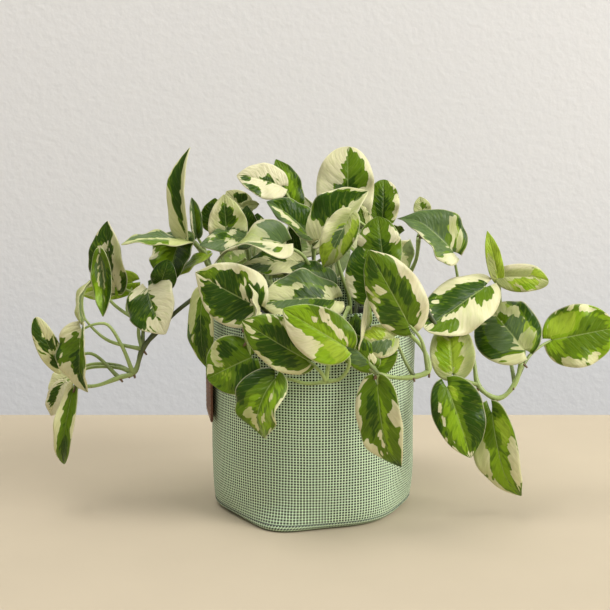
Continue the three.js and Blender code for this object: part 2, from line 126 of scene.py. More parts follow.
@dataclass(frozen=True)
class Look:
    """The pattern of one blade: its ground tone and the patches laid over it in turn."""

    ground: Tone
    patches: tuple[Patch, ...] = ()

    def values_at(self, u: float, v: float) -> list[float]:
        """Works out the pattern's fields at a point of the blade.

        Args:
            u: Place across the blade, from -1 to 1.
            v: Place along the blade, from base to tip.

        Returns:
            The signed green field, the depth, the greyness and the yellowness.
        """
        values = list(self.ground.value)
        for patch in self.patches:
            sign, *tints = patch.tone.value
            inside = patch.depth_inside(u, v)
            edge = sign * max(-1.0, min(1.0, inside / PATCH_EDGE))
            values[0] = max(values[0], edge) if sign > 0 else min(values[0], edge)
            share = smooth(inside / PATCH_SOFTNESS + 0.5)
            for i, tint in enumerate(tints, start=1):
                values[i] += share * (tint - values[i])
        return values


CREAM, CELERY, DARK, GREEN = Tone.CREAM, Tone.CELERY, Tone.DARK, Tone.GREEN
BRIGHT, LIME, OLIVE, SAGE = Tone.BRIGHT, Tone.LIME, Tone.OLIVE, Tone.SAGE
PALE = Tone.PALE

CHANCE_GROUNDS = (GREEN, BRIGHT, CREAM, GREEN, CELERY, CREAM, SAGE)
CHANCE_ON_CREAM = (GREEN, DARK, SAGE)
CHANCE_ON_OTHERS = (CREAM, CREAM, BRIGHT, DARK)
CHANCE_SIDES = (-1, 1, -1, 1, -1)


def look(ground: Tone, *patches: Patch) -> Look:
    """Returns the look of a blade with that ground tone and those patches."""
    return Look(ground, patches)


def chance_look(draw: random.Random) -> Look:
    """Draws a look for a blade at the unseen back.

    Args:
        draw: The blade's own seeded draw.

    Returns:
        The look, with patches on both sides of the midrib.
    """
    ground = draw.choice(CHANCE_GROUNDS)
    others = CHANCE_ON_CREAM if ground is CREAM else CHANCE_ON_OTHERS
    patches = [draw.choice(others).at(side * draw.uniform(0.25, 1.0), draw.uniform(0.15, 0.85),
                                      draw.uniform(0.2, 0.5), draw.uniform(0.12, 0.35))
               for side in CHANCE_SIDES]
    return Look(ground, tuple(patches))


# The plant's plan, in millimetres


@dataclass(frozen=True)
class Leaf:
    """One leaf: where it leaves the stem, its blade's size and set, and its look.

    Attributes:
        node: The number of the stem's point that it leaves.
        base: The start of its midrib.
        tip: The end of its midrib.
        width: Its greatest width.
        turn: The turn of its face about the midrib, in degrees, from 0 at the front.
        fold: The rise of its halves from the midrib, in degrees.
        arch: The rise of the midrib's middle, as a share of its length.
        look: Its pattern, or None for a chance one.
        via: The points that its petiole passes.
        twist: The turn of its tip against its base, in degrees.
        curl: The tip's bend out of the face, or None for one by its phase.
        sway: The tip's bend aside, or None for one by its phase.
        blunt: How rounded its tip is. Below 0, it is drawn out.
    """

    node: int
    base: Point
    tip: Point
    width: float
    turn: float
    fold: float
    arch: float
    look: Look | None = None
    via: tuple[Point, ...] = ()
    twist: float = 0.0
    curl: float | None = None
    sway: float | None = None
    blunt: float = 0.0


@dataclass(frozen=True)
class VinePlan:
    """One leafy stem: its root, the points it passes, its leaves and its older, darker share."""

    root: tuple[float, float]
    stem: tuple[Point, ...]
    leaves: tuple[Leaf, ...]
    woody: float = 0.35


SOIL_TOP = 118.0
# The heights of a stem's first points against the top of the soil.
STEM_LIFTS = (-28.0, -6.0, 8.0)

VINES: dict[str, VinePlan] = {
    "vine_left_long": VinePlan(root=(-36, -6), woody=0.75, stem=(
        (-52, -9, 145), (-71, -12, 152), (-80, -16, 146), (-92, -20, 137), (-104, -22, 125),
        (-114, -24, 113), (-120, -26, 97), (-129, -26, 94), (-146, -26, 88), (-159, -27, 88),
    ), leaves=(
        Leaf(4, (-134, 1, 151), (-139, -2, 196), 31, -25, 28, 0.08, look(
            CREAM, DARK.at(-0.1, 0.86, 0.9, 0.2), DARK.at(-0.1, 0.4, 0.35, 0.24),
            DARK.at(-0.85, 0.5, 0.3, 0.4), CELERY.at(0.75, 0.5, 0.35, 0.3),
            DARK.at(0.9, 0.15, 0.3, 0.14), DARK.at(0.3, 0.62, 0.2, 0.12)),
            via=((-120, -4, 146),)),
        Leaf(4, (-142, -17, 175), (-140, -22, 135), 19, 10, 45, -0.1, look(
            GREEN, SAGE.at(0.1, 0.25, 0.6, 0.3), CREAM.at(-0.1, 0.35, 0.07, 0.4),
            CREAM.at(0.4, 0.3, 0.06, 0.22), DARK.at(-0.8, 0.6, 0.35, 0.4),
            BRIGHT.at(0.6, 0.66, 0.4, 0.2)),
            via=((-137, -8, 143), (-142, -11, 160)), curl=0.1, sway=-0.02),
        Leaf(4, (-123, 5, 153), (-160, 5, 145), 20, 0, 6, 0.06, look(
            LIME, PALE.at(-0.3, 0.6, 0.6, 0.3), BRIGHT.at(-0.4, 0.2, 0.5, 0.2),
            CREAM.at(0.7, 0.55, 0.3, 0.3)),
            via=((-126, -4, 135),)),
        Leaf(5, (-153, -24, 133), (-147, -16, 160), 20, -75, 30, 0.15, look(
            CELERY, SAGE.at(0.6, 0.5, 0.3, 0.5), CREAM.at(-0.3, 0.4, 0.3, 0.4)),
            via=((-138, -23, 119),)),
        Leaf(5, (-111, -12, 152), (-97, -42, 127), 38, 15, 10, 0.1, look(
            CREAM, DARK.at(0.6, 0.3, 0.55, 0.32), DARK.at(0.08, 0.4, 0.2, 0.32),
            DARK.at(0.85, 0.62, 0.3, 0.22), DARK.at(-0.85, 0.05, 0.35, 0.1),
            CREAM.at(0.7, 0.03, 0.4, 0.1)),
            via=((-117, -20, 124),)),
        Leaf(5, (-102, -12, 154), (-96, -20, 172), 18, 0, 10, 0.2, look(
            DARK, CREAM.at(0.4, 0.2, 0.35, 0.2)),
            via=((-113, -14, 132),), blunt=0.7),
        Leaf(7, (-171, -20, 100), (-185, -25, 135), 16, 0, 12, 0.06, look(
            CREAM, DARK.at(-0.5, 0.8, 0.5, 0.22), DARK.at(0.0, 0.48, 0.75, 0.13),
            DARK.at(-0.1, 0.12, 0.6, 0.13), DARK.at(0.85, 0.25, 0.25, 0.15),
            CREAM.at(0.35, 0.75, 0.2, 0.2)),
            via=((-150, -20, 109),), blunt=0.7),
        Leaf(6, (-154, -28, 127), (-154, -33, 85), 34, 38, 38, 0.06, look(
            CREAM, GREEN.at(0.35, 0.3, 0.5, 0.2), DARK.at(-0.2, 0.65, 0.5, 0.4),
            GREEN.at(-0.5, 0.3, 0.5, 0.4), CREAM.at(0.8, 0.1, 0.4, 0.1),
            DARK.at(0.95, 0.42, 0.14, 0.15)),
            via=((-128, -28, 117), (-138, -28, 131)), sway=-0.05),
        Leaf(9, (-161, -27, 85), (-170, -31, 32), 17, 15, 32, 0.07, look(
            GREEN, CREAM.at(0.85, 0.3, 0.42, 0.45), CREAM.at(0.95, 0.75, 0.14, 0.2),
            DARK.at(-0.2, 0.75, 0.5, 0.2), CREAM.at(-0.9, 0.42, 0.28, 0.12)),
            curl=-0.22, sway=0.06, blunt=0.5),
        Leaf(6, (-169, -18, 87), (-179, -16, 64), 15, 10, 20, 0.1, look(
            CREAM, DARK.at(0.35, 0.35, 0.4, 0.34)),
            via=((-131, -20, 99), (-154, -15, 97))),
        Leaf(6, (-165, -8, 91), (-181, -5, 80), 16, 20, 10, 0.06, look(
            CREAM),
            via=((-131, -18, 100), (-152, -11, 99))),
    )),
    "vine_left_upright": VinePlan(root=(-40, 10), woody=0.5, stem=(
        (-56, 7, 150), (-70, 5, 163), (-77, 3, 177), (-84, 1, 185),
    ), leaves=(
        Leaf(3, (-86, -4, 183), (-127, -22, 185), 25, 72, 12, 0.05, look(
            CELERY, SAGE.at(0.5, 0.5, 0.4, 0.4), CREAM.at(0.0, 0.5, 0.12, 0.5),
            GREEN.at(-0.6, 0.6, 0.35, 0.3))),
        Leaf(3, (-89, 6, 184), (-96, -14, 156), 36, 25, 25, 0.1, look(
            GREEN, DARK.at(-0.55, 0.5, 0.5, 0.5), BRIGHT.at(0.5, 0.55, 0.3, 0.25),
            CREAM.at(0.92, 0.5, 0.22, 0.1), DARK.at(0.5, 0.1, 0.5, 0.12)),
            blunt=0.3),
        Leaf(3, (-85, 0, 185), (-86, 6, 245), 22, -40, 40, 0.08, look(
            CREAM, DARK.at(-0.42, 0.76, 0.5, 0.3), DARK.at(-0.34, 0.5, 0.3, 0.22),
            DARK.at(-0.16, 0.28, 0.14, 0.2)),
            curl=-0.05, sway=0.03),
        Leaf(1, (-79, 6, 186), (-82, 8, 211), 12, 20, 45, 0.05, look(
            SAGE, CREAM.at(-0.75, 0.35, 0.2, 0.35), GREEN.at(0.4, 0.4, 0.35, 0.4)),
            via=((-73, 7, 174),)),
        Leaf(2, (-71, -6, 174), (-92, -10, 161), 16, 60, 10, 0.05, look(
            LIME, BRIGHT.at(0.4, 0.5, 0.4, 0.4), CREAM.at(0.95, 0.5, 0.1, 0.4))),
        Leaf(0, (-65, 18, 188), (-67, 20, 209), 22, 0, 12, 0.06, look(
            GREEN, DARK.at(-0.4, 0.5, 0.5, 0.4), CREAM.at(0.9, 0.5, 0.15, 0.5)),
            via=((-62, 14, 168),)),
    )),
    "vine_top_left": VinePlan(root=(-28, 20), stem=(
        (-35, 17, 142), (-42, 14, 160), (-45, 10, 176),
    ), leaves=(
        Leaf(2, (-57, -12, 183), (-59, -16, 216), 27, 0, 12, 0.08, look(
            CELERY, CELERY.at(0.65, 0.7, 0.3, 0.3), DARK.at(0.05, 0.58, 0.5, 0.24),
            SAGE.at(0.05, 0.2, 0.8, 0.13), CREAM.at(-0.9, 0.4, 0.2, 0.3),
            CREAM.at(-0.75, 0.75, 0.2, 0.2)),
            via=((-50, -4, 180),)),
        Leaf(1, (-45, 16, 200), (-59, 18, 214), 20, 0, 10, 0.05, look(
            CREAM, DARK.at(0.45, 0.5, 0.4, 0.22)),
            via=((-44, 17, 180),)),
        Leaf(2, (-47, 6, 205), (-36, 4, 207), 8, 0, 20, 0.05, look(CELERY), via=((-49, 8, 192),)),
        Leaf(2, (-44, 4, 182), (-45, 2, 206), 18, -20, 10, 0.1, look(DARK)),
        Leaf(2, (-44, -18, 187), (-75, -24, 183), 22, 40, 10, 0.08, look(
            SAGE, CREAM.at(-0.5, 0.35, 0.6, 0.13), DARK.at(0.3, 0.5, 0.3, 0.15),
            CREAM.at(0.4, 0.75, 0.4, 0.08), CREAM.at(0.6, 0.3, 0.3, 0.06)),
            via=((-46, -6, 182),)),
        Leaf(1, (-39, 22, 182), (-38, 24, 198), 14, 0, 10, 0.05, look(
            DARK, CREAM.at(0.7, 0.5, 0.25, 0.5)),
            via=((-40, 18, 170),)),
    )),
    "vine_top": VinePlan(root=(-12, 16), stem=(
        (-10, 10, 150), (-9, 7, 168), (-10, 9, 190), (-12, 10, 203),
    ), leaves=(
        Leaf(3, (-21, 5, 219), (-51, 2, 227), 27, 20, 18, 0.08, look(
            CREAM, DARK.at(-0.22, 0.8, 0.22, 0.13), DARK.at(0.12, 0.3, 0.2, 0.15),
            DARK.at(-0.75, 0.6, 0.25, 0.16))),
        Leaf(3, (-14, 13, 203), (-25, 17, 236), 23, 25, 20, 0.08, look(
            GREEN, DARK.at(-0.6, 0.45, 0.4, 0.4), BRIGHT.at(0.25, 0.5, 0.25, 0.3),
            DARK.at(0.85, 0.5, 0.15, 0.4))),
    )),
    "vine_heart": VinePlan(root=(8, 2), stem=(
        (5, 1, 148), (1, 0, 166), (1, -2, 180),
    ), leaves=(
        Leaf(2, (4, -8, 184), (37, -4, 217), 42, -35, 35, 0.08, look(
            CREAM, DARK.at(-0.55, 0.5, 0.5, 0.3), DARK.at(-0.2, 0.85, 0.3, 0.14),
            GREEN.at(0.35, 0.45, 0.14, 0.1), CELERY.at(0.6, 0.5, 0.3, 0.4))),
        Leaf(2, (-3, -5, 188), (-30, -8, 211), 28, 35, 32, 0.06, look(
            SAGE, CREAM.at(-0.34, 0.5, 0.24, 0.5), DARK.at(0.45, 0.5, 0.5, 0.42),
            DARK.at(-0.9, 0.4, 0.15, 0.15))),
        Leaf(0, (-11, 0, 163), (-14, 2, 195), 11, 0, 12, 0.06, look(DARK), via=((-8, 1, 154),)),
    )),
    "vine_centre": VinePlan(root=(8, -16), stem=(
        (9, -20, 144), (6, -25, 158), (-2, -28, 170),
    ), leaves=(
        Leaf(2, (-20, -36, 186), (-67, -40, 174), 34, 72, 14, 0.16, look(
            CREAM, SAGE.at(0.5, 0.12, 0.7, 0.2), SAGE.at(-0.5, 0.5, 0.3, 0.35),
            PALE.at(0.35, 0.5, 0.4, 0.3)),
            via=((-8, -32, 179),), twist=110, blunt=-2.6),
        Leaf(2, (-10, -24, 172), (-47, -30, 170), 24, 45, 10, 0.06, look(
            CREAM, DARK.at(0.25, 0.35, 0.25, 0.18), SAGE.at(-0.5, 0.75, 0.5, 0.22),
            DARK.at(0.8, 0.6, 0.25, 0.25))),
        Leaf(1, (12, -31, 158), (-19, -35, 167), 25, 30, 10, 0.08, look(
            SAGE, CREAM.at(-0.3, 0.55, 0.25, 0.45), DARK.at(0.7, 0.6, 0.35, 0.4))),
        Leaf(0, (13, -47, 151), (-35, -60, 151), 41, 25, 20, 0.08, look(
            CREAM, SAGE.at(0.9, 0.38, 0.45, 0.32), DARK.at(0.2, 0.35, 0.28, 0.22),
            SAGE.at(-0.25, 0.4, 0.3, 0.5), DARK.at(-0.2, 0.15, 0.2, 0.2),
            CREAM.at(-0.7, 0.5, 0.3, 0.3)),
            via=((12, -34, 151),)),
    )),
    "vine_top_right": VinePlan(root=(26, 12), stem=(
        (25, 10, 142), (20, 8, 157), (17, 8, 172), (24, 12, 188),
    ), leaves=(
        Leaf(3, (24, 18, 193), (24, 24, 244), 40, 0, 8, 0.08, look(
            CREAM, GREEN.at(0.2, 0.68, 0.44, 0.3), DARK.at(0.1, 0.4, 0.24, 0.18),
            SAGE.at(-0.3, 0.3, 0.2, 0.2)),
            blunt=0.9),
        Leaf(3, (24, -28, 203), (7, -34, 170), 23, 0, 16, 0.06, look(
            PALE, CREAM.at(0.85, 0.35, 0.3, 0.45), SAGE.at(0.05, 0.4, 0.3, 0.25),
            LIME.at(0.3, 0.82, 0.6, 0.2), LIME.at(-0.6, 0.4, 0.3, 0.3),
            GREEN.at(-0.95, 0.4, 0.14, 0.3)),
            via=((31, 2, 192), (35, -18, 195))),
    )),
    "vine_right_back": VinePlan(root=(42, 12), stem=(
        (52, 14, 144), (64, 14, 154), (71, 14, 167), (73, 18, 182),
    ), leaves=(
        Leaf(3, (76, 26, 196), (74, 28, 209), 13, 0, 15, 0.05, look(
            CELERY, GREEN.at(0.2, 0.5, 0.35, 0.18))),
        Leaf(0, (48, 20, 192), (49, 26, 221), 23, 0, 10, 0.08, look(
            GREEN, CREAM.at(-0.9, 0.4, 0.2, 0.4), CREAM.at(0.9, 0.35, 0.2, 0.4),
            DARK.at(-0.1, 0.4, 0.4, 0.35), CREAM.at(0.9, 0.9, 0.3, 0.1)),
            via=((48, 17, 168),), blunt=0.8),
        Leaf(1, (53, 10, 189), (63, 12, 187), 10, 50, 10, 0.05, look(GREEN), via=((56, 12, 172),)),
        Leaf(0, (36, 6, 190), (31, 6, 208), 10, 0, 12, 0.05, look(
            GREEN, CREAM.at(0.6, 0.5, 0.4, 0.5)),
            via=((42, 10, 168),)),
    )),
    "vine_front_left": VinePlan(root=(-20, -26), stem=(
        (-32, -38, 143), (-41, -50, 153), (-46, -62, 150), (-44, -68, 138), (-42, -70, 128),
    ), leaves=(
        Leaf(2, (-37, -66, 151), (-76, -52, 170), 41, -8, 8, 0.08, look(
            CREAM, DARK.at(0.42, 0.5, 0.4, 0.2), DARK.at(0.5, 0.08, 0.4, 0.14),
            DARK.at(-0.4, 0.4, 0.5, 0.42), OLIVE.at(0.3, 0.82, 0.4, 0.12),
            DARK.at(0.05, 0.4, 0.14, 0.3), CREAM.at(-0.97, 0.6, 0.12, 0.35)),
            blunt=-0.3),
        Leaf(3, (-37, -72, 142), (-39, -70, 166), 14, 78, 20, 0.05, look(CREAM)),
        Leaf(1, (-38, -46, 154), (-37, -42, 169), 14, 0, 10, 0.05, look(
            GREEN, CREAM.at(-0.4, 0.3, 0.15, 0.3), CREAM.at(0.95, 0.5, 0.15, 0.5),
            DARK.at(0.3, 0.5, 0.3, 0.3))),
        Leaf(1, (-73, -34, 151), (-71, -42, 103), 21, 25, 18, 0.08, look(
            GREEN, CELERY.at(0.75, 0.2, 0.4, 0.34), CREAM.at(-0.92, 0.4, 0.12, 0.4),
            DARK.at(0.0, 0.6, 0.5, 0.3), SAGE.at(0.95, 0.6, 0.14, 0.3),
            CREAM.at(0.98, 0.85, 0.1, 0.2)),
            via=((-58, -42, 156),)),
        Leaf(4, (-40, -72, 118), (-68, -71, 104), 40, 5, 8, 0.1, look(
            GREEN, CELERY.at(0.6, 0.55, 0.5, 0.22), OLIVE.at(0.35, 0.4, 0.3, 0.14),
            DARK.at(0.55, 0.4, 0.3, 0.2), CREAM.at(0.5, 0.85, 0.3, 0.1),
            DARK.at(-0.5, 0.3, 0.4, 0.3), OLIVE.at(-0.2, 0.6, 0.3, 0.2)),
            blunt=0.3),
    )),
    "vine_front": VinePlan(root=(18, -32), stem=(
        (21, -46, 143), (23, -59, 148), (21, -71, 147), (16, -79, 137), (11, -81, 122),
        (8, -79, 104),
    ), leaves=(
        Leaf(5, (-24, -82, 107), (-33, -80, 66), 43, 40, 25, 0.22, look(
            GREEN, DARK.at(0.8, 0.25, 0.4, 0.3), BRIGHT.at(0.3, 0.5, 0.2, 0.3),
            BRIGHT.at(-0.5, 0.5, 0.4, 0.5), CELERY.at(0.4, 0.62, 0.25, 0.1),
            CREAM.at(0.12, 0.75, 0.12, 0.22), CREAM.at(-0.4, 0.45, 0.07, 0.25),
            CREAM.at(-0.97, 0.55, 0.12, 0.4)),
            via=((-4, -80, 103), (-15, -81, 106))),
        Leaf(5, (-4, -87, 120), (-45, -85, 145), 34, -5, 8, 0.08, look(
            GREEN, CREAM.at(-0.3, 0.88, 0.25, 0.14), CREAM.at(0.85, 0.4, 0.26, 0.4),
            CREAM.at(-0.95, 0.28, 0.2, 0.34), DARK.at(-0.4, 0.4, 0.4, 0.3),
            DARK.at(0.3, 0.5, 0.25, 0.3), CREAM.at(0.6, 0.9, 0.3, 0.1)),
            via=((5, -83, 111),)),
        Leaf(5, (20, -88, 129), (-18, -96, 154), 34, 0, 8, 0.08, look(
            BRIGHT, CREAM.at(-0.8, 0.68, 0.35, 0.3), CREAM.at(-0.55, 0.42, 0.12, 0.2),
            CREAM.at(0.42, 0.3, 0.14, 0.34), CREAM.at(0.75, 0.55, 0.3, 0.1),
            GREEN.at(0.9, 0.3, 0.3, 0.3), GREEN.at(0.9, 0.68, 0.2, 0.08),
            LIME.at(-0.5, 0.16, 0.5, 0.2), BRIGHT.at(-0.8, 0.24, 0.3, 0.14)),
            via=((17, -80, 106), (23, -84, 117)), blunt=0.2),
    )),
    "vine_front_right": VinePlan(root=(30, -18), stem=(
        (40, -36, 145), (49, -50, 152), (56, -58, 143), (62, -62, 132), (69, -66, 125),
        (74, -68, 116), (74, -71, 109), (65, -74, 106), (54, -77, 106), (41, -80, 109),
    ), leaves=(
        Leaf(6, (61, -72, 140), (34, -84, 190), 36, 0, 8, 0.06, look(
            GREEN, CREAM.at(0.92, 0.3, 0.3, 0.42), CREAM.at(0.96, 0.8, 0.12, 0.2),
            CELERY.at(-0.75, 0.52, 0.35, 0.08), DARK.at(-0.4, 0.8, 0.4, 0.14),
            DARK.at(0.3, 0.5, 0.22, 0.25), CREAM.at(-0.96, 0.3, 0.08, 0.3),
            DARK.at(-0.5, 0.25, 0.4, 0.16)),
            via=((69, -72, 130),)),
        Leaf(7, (52, -70, 131), (29, -76, 128), 22, 0, 8, 0.1, look(
            PALE, LIME.at(0.45, 0.5, 0.4, 0.3), SAGE.at(-0.35, 0.45, 0.4, 0.35),
            CREAM.at(-0.95, 0.4, 0.12, 0.4)),
            via=((60, -73, 114),), blunt=0.7),
        Leaf(9, (40, -76, 111), (44, -62, 131), 25, 0, 15, 0.1, look(
            GREEN, CREAM.at(-0.3, 0.7, 0.4, 0.14), SAGE.at(-0.6, 0.5, 0.3, 0.3),
            BRIGHT.at(0.2, 0.4, 0.4, 0.3)),
            blunt=0.7),
        Leaf(9, (41, -80, 102), (52, -76, 44), 31, 22, 12, 0.1, look(
            GREEN, CREAM.at(0.97, 0.35, 0.16, 0.4), CREAM.at(0.75, 0.74, 0.35, 0.13),
            CREAM.at(-0.72, 0.34, 0.3, 0.15), CREAM.at(-0.98, 0.6, 0.13, 0.4),
            DARK.at(0.35, 0.3, 0.25, 0.2), BRIGHT.at(-0.15, 0.45, 0.12, 0.35),
            DARK.at(0.0, 0.97, 0.5, 0.07), CREAM.at(0.15, 0.62, 0.06, 0.12)),
            sway=-0.06),
        Leaf(1, (46, -48, 172), (42, -42, 205), 30, 0, 8, 0.06, look(
            GREEN, CREAM.at(0.68, 0.6, 0.25, 0.22), CREAM.at(-0.85, 0.6, 0.2, 0.2),
            DARK.at(0.0, 0.35, 0.4, 0.2)),
            via=((52, -50, 160),), blunt=0.5),
        Leaf(1, (39, -50, 153), (33, -46, 190), 36, 0, 10, 0.06, look(
            DARK, CREAM.at(-0.9, 0.3, 0.2, 0.3), GREEN.at(0.3, 0.6, 0.5, 0.3))),
        Leaf(9, (38, -78, 115), (17, -74, 134), 20, 0, 10, 0.05, look(
            GREEN, CREAM.at(0.4, 0.12, 0.4, 0.14), SAGE.at(-0.4, 0.4, 0.4, 0.3),
            DARK.at(0.5, 0.6, 0.3, 0.3))),
        Leaf(9, (27, -72, 116), (27, -67, 146), 18, 0, 10, 0.05, look(
            GREEN, DARK.at(0.2, 0.6, 0.5, 0.3), CREAM.at(0.0, 0.06, 0.9, 0.1)),
            via=((32, -76, 114),)),
        Leaf(9, (31, -75, 127), (34, -70, 159), 14, 60, 10, 0.06, look(
            CREAM, CELERY.at(0.5, 0.5, 0.5, 0.5), LIME.at(0.8, 0.6, 0.2, 0.3)),
            via=((35, -77, 117),)),
    )),
    "vine_right_long": VinePlan(root=(38, -4), woody=0.62, stem=(
        (50, -14, 145), (62, -25, 152), (74, -29, 143), (83, -30, 129), (97, -22, 118),
        (107, -23, 108), (111, -31, 89), (122, -32, 81), (128, -31, 82), (136, -28, 91),
        (140, -25, 104),
    ), leaves=(
        Leaf(10, (142, -24, 112), (119, 6, 137), 46, 0, 8, 0.08, look(
            CELERY, DARK.at(-0.7, 0.5, 0.4, 0.4), SAGE.at(-0.3, 0.4, 0.35, 0.4),
            SAGE.at(0.2, 0.4, 0.3, 0.25), DARK.at(0.95, 0.35, 0.3, 0.5),
            CREAM.at(-0.62, 0.06, 0.4, 0.1), GREEN.at(0.1, 0.62, 0.2, 0.12),
            PALE.at(0.5, 0.12, 0.25, 0.14)),
            blunt=0.4),
        Leaf(9, (163, -6, 115), (207, -2, 123), 44, 0, 8, 0.06, look(
            BRIGHT, LIME.at(-0.6, 0.2, 0.45, 0.25), CREAM.at(0.92, 0.28, 0.26, 0.32),
            CREAM.at(-0.88, 0.55, 0.1, 0.3), DARK.at(-1.0, 0.3, 0.1, 0.15),
            GREEN.at(0.25, 0.55, 0.4, 0.4), GREEN.at(-0.3, 0.65, 0.3, 0.2)),
            via=((147, -16, 107),), blunt=0.5),
        Leaf(6, (93, -36, 99), (91, -16, 131), 31, 0, 10, 0.08, look(
            PALE, LIME.at(0.15, 0.5, 0.3, 0.6), BRIGHT.at(-0.4, 0.35, 0.35, 0.3),
            CREAM.at(0.52, 0.5, 0.07, 0.5), CREAM.at(-0.98, 0.5, 0.1, 0.5),
            PALE.at(0.85, 0.4, 0.2, 0.3)),
            via=((104, -35, 93),)),
        Leaf(6, (89, -42, 91), (105, -46, 44), 36, -4, 12, 0.08, look(
            GREEN, DARK.at(0.9, 0.3, 0.3, 0.4), CREAM.at(0.62, 0.45, 0.035, 0.2),
            BRIGHT.at(0.25, 0.6, 0.3, 0.4), LIME.at(-0.3, 0.1, 0.25, 0.14),
            DARK.at(-0.65, 0.5, 0.45, 0.5), CREAM.at(-0.2, 0.95, 0.5, 0.05),
            CREAM.at(0.95, 0.8, 0.1, 0.2)),
            via=((103, -38, 93),)),
        Leaf(7, (120, -35, 72), (136, -38, 12), 32, 25, 12, 0.13, look(
            GREEN, CELERY.at(0.85, 0.4, 0.42, 0.3), LIME.at(-0.3, 0.2, 0.6, 0.2),
            DARK.at(-0.4, 0.02, 0.4, 0.06), GREEN.at(-0.05, 0.27, 0.25, 0.12),
            CREAM.at(-0.7, 0.62, 0.4, 0.28), BRIGHT.at(-0.2, 0.65, 0.2, 0.25),
            CREAM.at(0.9, 0.85, 0.2, 0.2), BRIGHT.at(0.3, 0.7, 0.3, 0.3)),
            sway=-0.05),
        Leaf(9, (117, -6, 152), (74, -34, 127), 41, 20, 12, 0.03, look(
            CREAM, DARK.at(0.25, 0.4, 0.38, 0.55), GREEN.at(-0.42, 0.8, 0.34, 0.17),
            DARK.at(0.97, 0.72, 0.24, 0.16), GREEN.at(-0.3, 0.1, 0.3, 0.14)),
            via=((134, 8, 112), (128, 6, 138)), blunt=0.6),
        Leaf(9, (126, -1, 157), (118, -2, 189), 12, 0, 20, 0.06, look(
            LIME, PALE.at(-0.5, 0.3, 0.5, 0.3)),
            via=((134, 9, 112), (128, 7, 138))),
        Leaf(9, (128, -1, 158), (160, -2, 158), 20, 0, 12, 0.06, look(
            PALE, CREAM.at(-0.85, 0.4, 0.3, 0.45), LIME.at(-0.4, 0.85, 0.4, 0.2),
            LIME.at(0.35, 0.5, 0.3, 0.3), CREAM.at(0.1, 0.6, 0.05, 0.3),
            BRIGHT.at(0.7, 0.55, 0.25, 0.2)),
            via=((134, 9, 112), (129, 7, 138)), sway=0.1, blunt=0.7),
        Leaf(4, (96, 10, 173), (62, 8, 202), 48, 37, 32, 0.06, look(
            SAGE, CELERY.at(0.62, 0.16, 0.4, 0.22), DARK.at(0.97, 0.16, 0.2, 0.24),
            GREEN.at(0.2, 0.14, 0.2, 0.12), CREAM.at(-0.75, 0.06, 0.6, 0.12),
            CREAM.at(-0.98, 0.4, 0.14, 0.35)),
            via=((101, 6, 142),), sway=-0.12, blunt=-1.0),
    )),
    "vine_back_left": VinePlan(root=(-24, 32), stem=(
        (-30, 46, 146), (-36, 60, 154), (-42, 73, 149), (-46, 83, 134), (-48, 88, 112),
        (-46, 92, 94),
    ), leaves=(
        Leaf(0, (-26, 40, 168), (-48, 68, 184), 35, 168, 24, 0.08, sway=0.12),
        Leaf(1, (-47, 57, 161), (-68, 84, 150), 35, 196, 14, 0.1, blunt=0.4),
        Leaf(2, (-40, 81, 151), (-34, 102, 116), 39, 166, 16, 0.08, blunt=0.5),
        Leaf(3, (-54, 89, 127), (-66, 99, 88), 33, 206, 26, 0.08, sway=-0.1),
        Leaf(4, (-26, 91, 114), (-14, 99, 78), 32, 160, 12, 0.06, blunt=0.3),
        Leaf(5, (-46, 96, 87), (-50, 103, 45), 36, 188, 30, 0.05, sway=0.08),
    )),
    "vine_back": VinePlan(root=(4, 34), stem=(
        (2, 48, 148), (0, 62, 155), (0, 75, 148), (2, 84, 130), (4, 89, 110),
    ), leaves=(
        Leaf(0, (0, 42, 170), (-10, 62, 203), 34, 170, 20, 0.08, sway=-0.1),
        Leaf(1, (12, 60, 164), (29, 88, 160), 39, 190, 14, 0.1, blunt=0.5),
        Leaf(2, (-10, 81, 151), (-16, 104, 120), 41, 172, 12, 0.1, blunt=0.6),
        Leaf(3, (16, 87, 137), (30, 103, 103), 37, 202, 22, 0.06, sway=0.1),
        Leaf(4, (4, 95, 102), (-5, 103, 58), 36, 174, 28, 0.06),
    )),
    "vine_back_right": VinePlan(root=(30, 26), stem=(
        (37, 40, 147), (44, 54, 154), (49, 67, 148), (52, 76, 130), (50, 82, 110),
    ), leaves=(
        Leaf(0, (34, 38, 170), (49, 62, 192), 35, 186, 22, 0.1, blunt=0.3),
        Leaf(1, (53, 54, 164), (70, 78, 149), 34, 204, 14, 0.08, sway=-0.1),
        Leaf(2, (45, 75, 147), (54, 97, 115), 38, 172, 16, 0.1, blunt=0.5),
        Leaf(3, (55, 80, 124), (64, 92, 85), 31, 208, 28, 0.06, sway=0.1),
        Leaf(4, (36, 91, 107), (25, 100, 72), 30, 162, 14, 0.06, blunt=0.2),
    )),
}


# Shader helpers


class Band(NamedTuple):
    """A smooth step: where it starts, where it ends and how high it goes."""

    low: float
    high: float
    top: float = 1.0


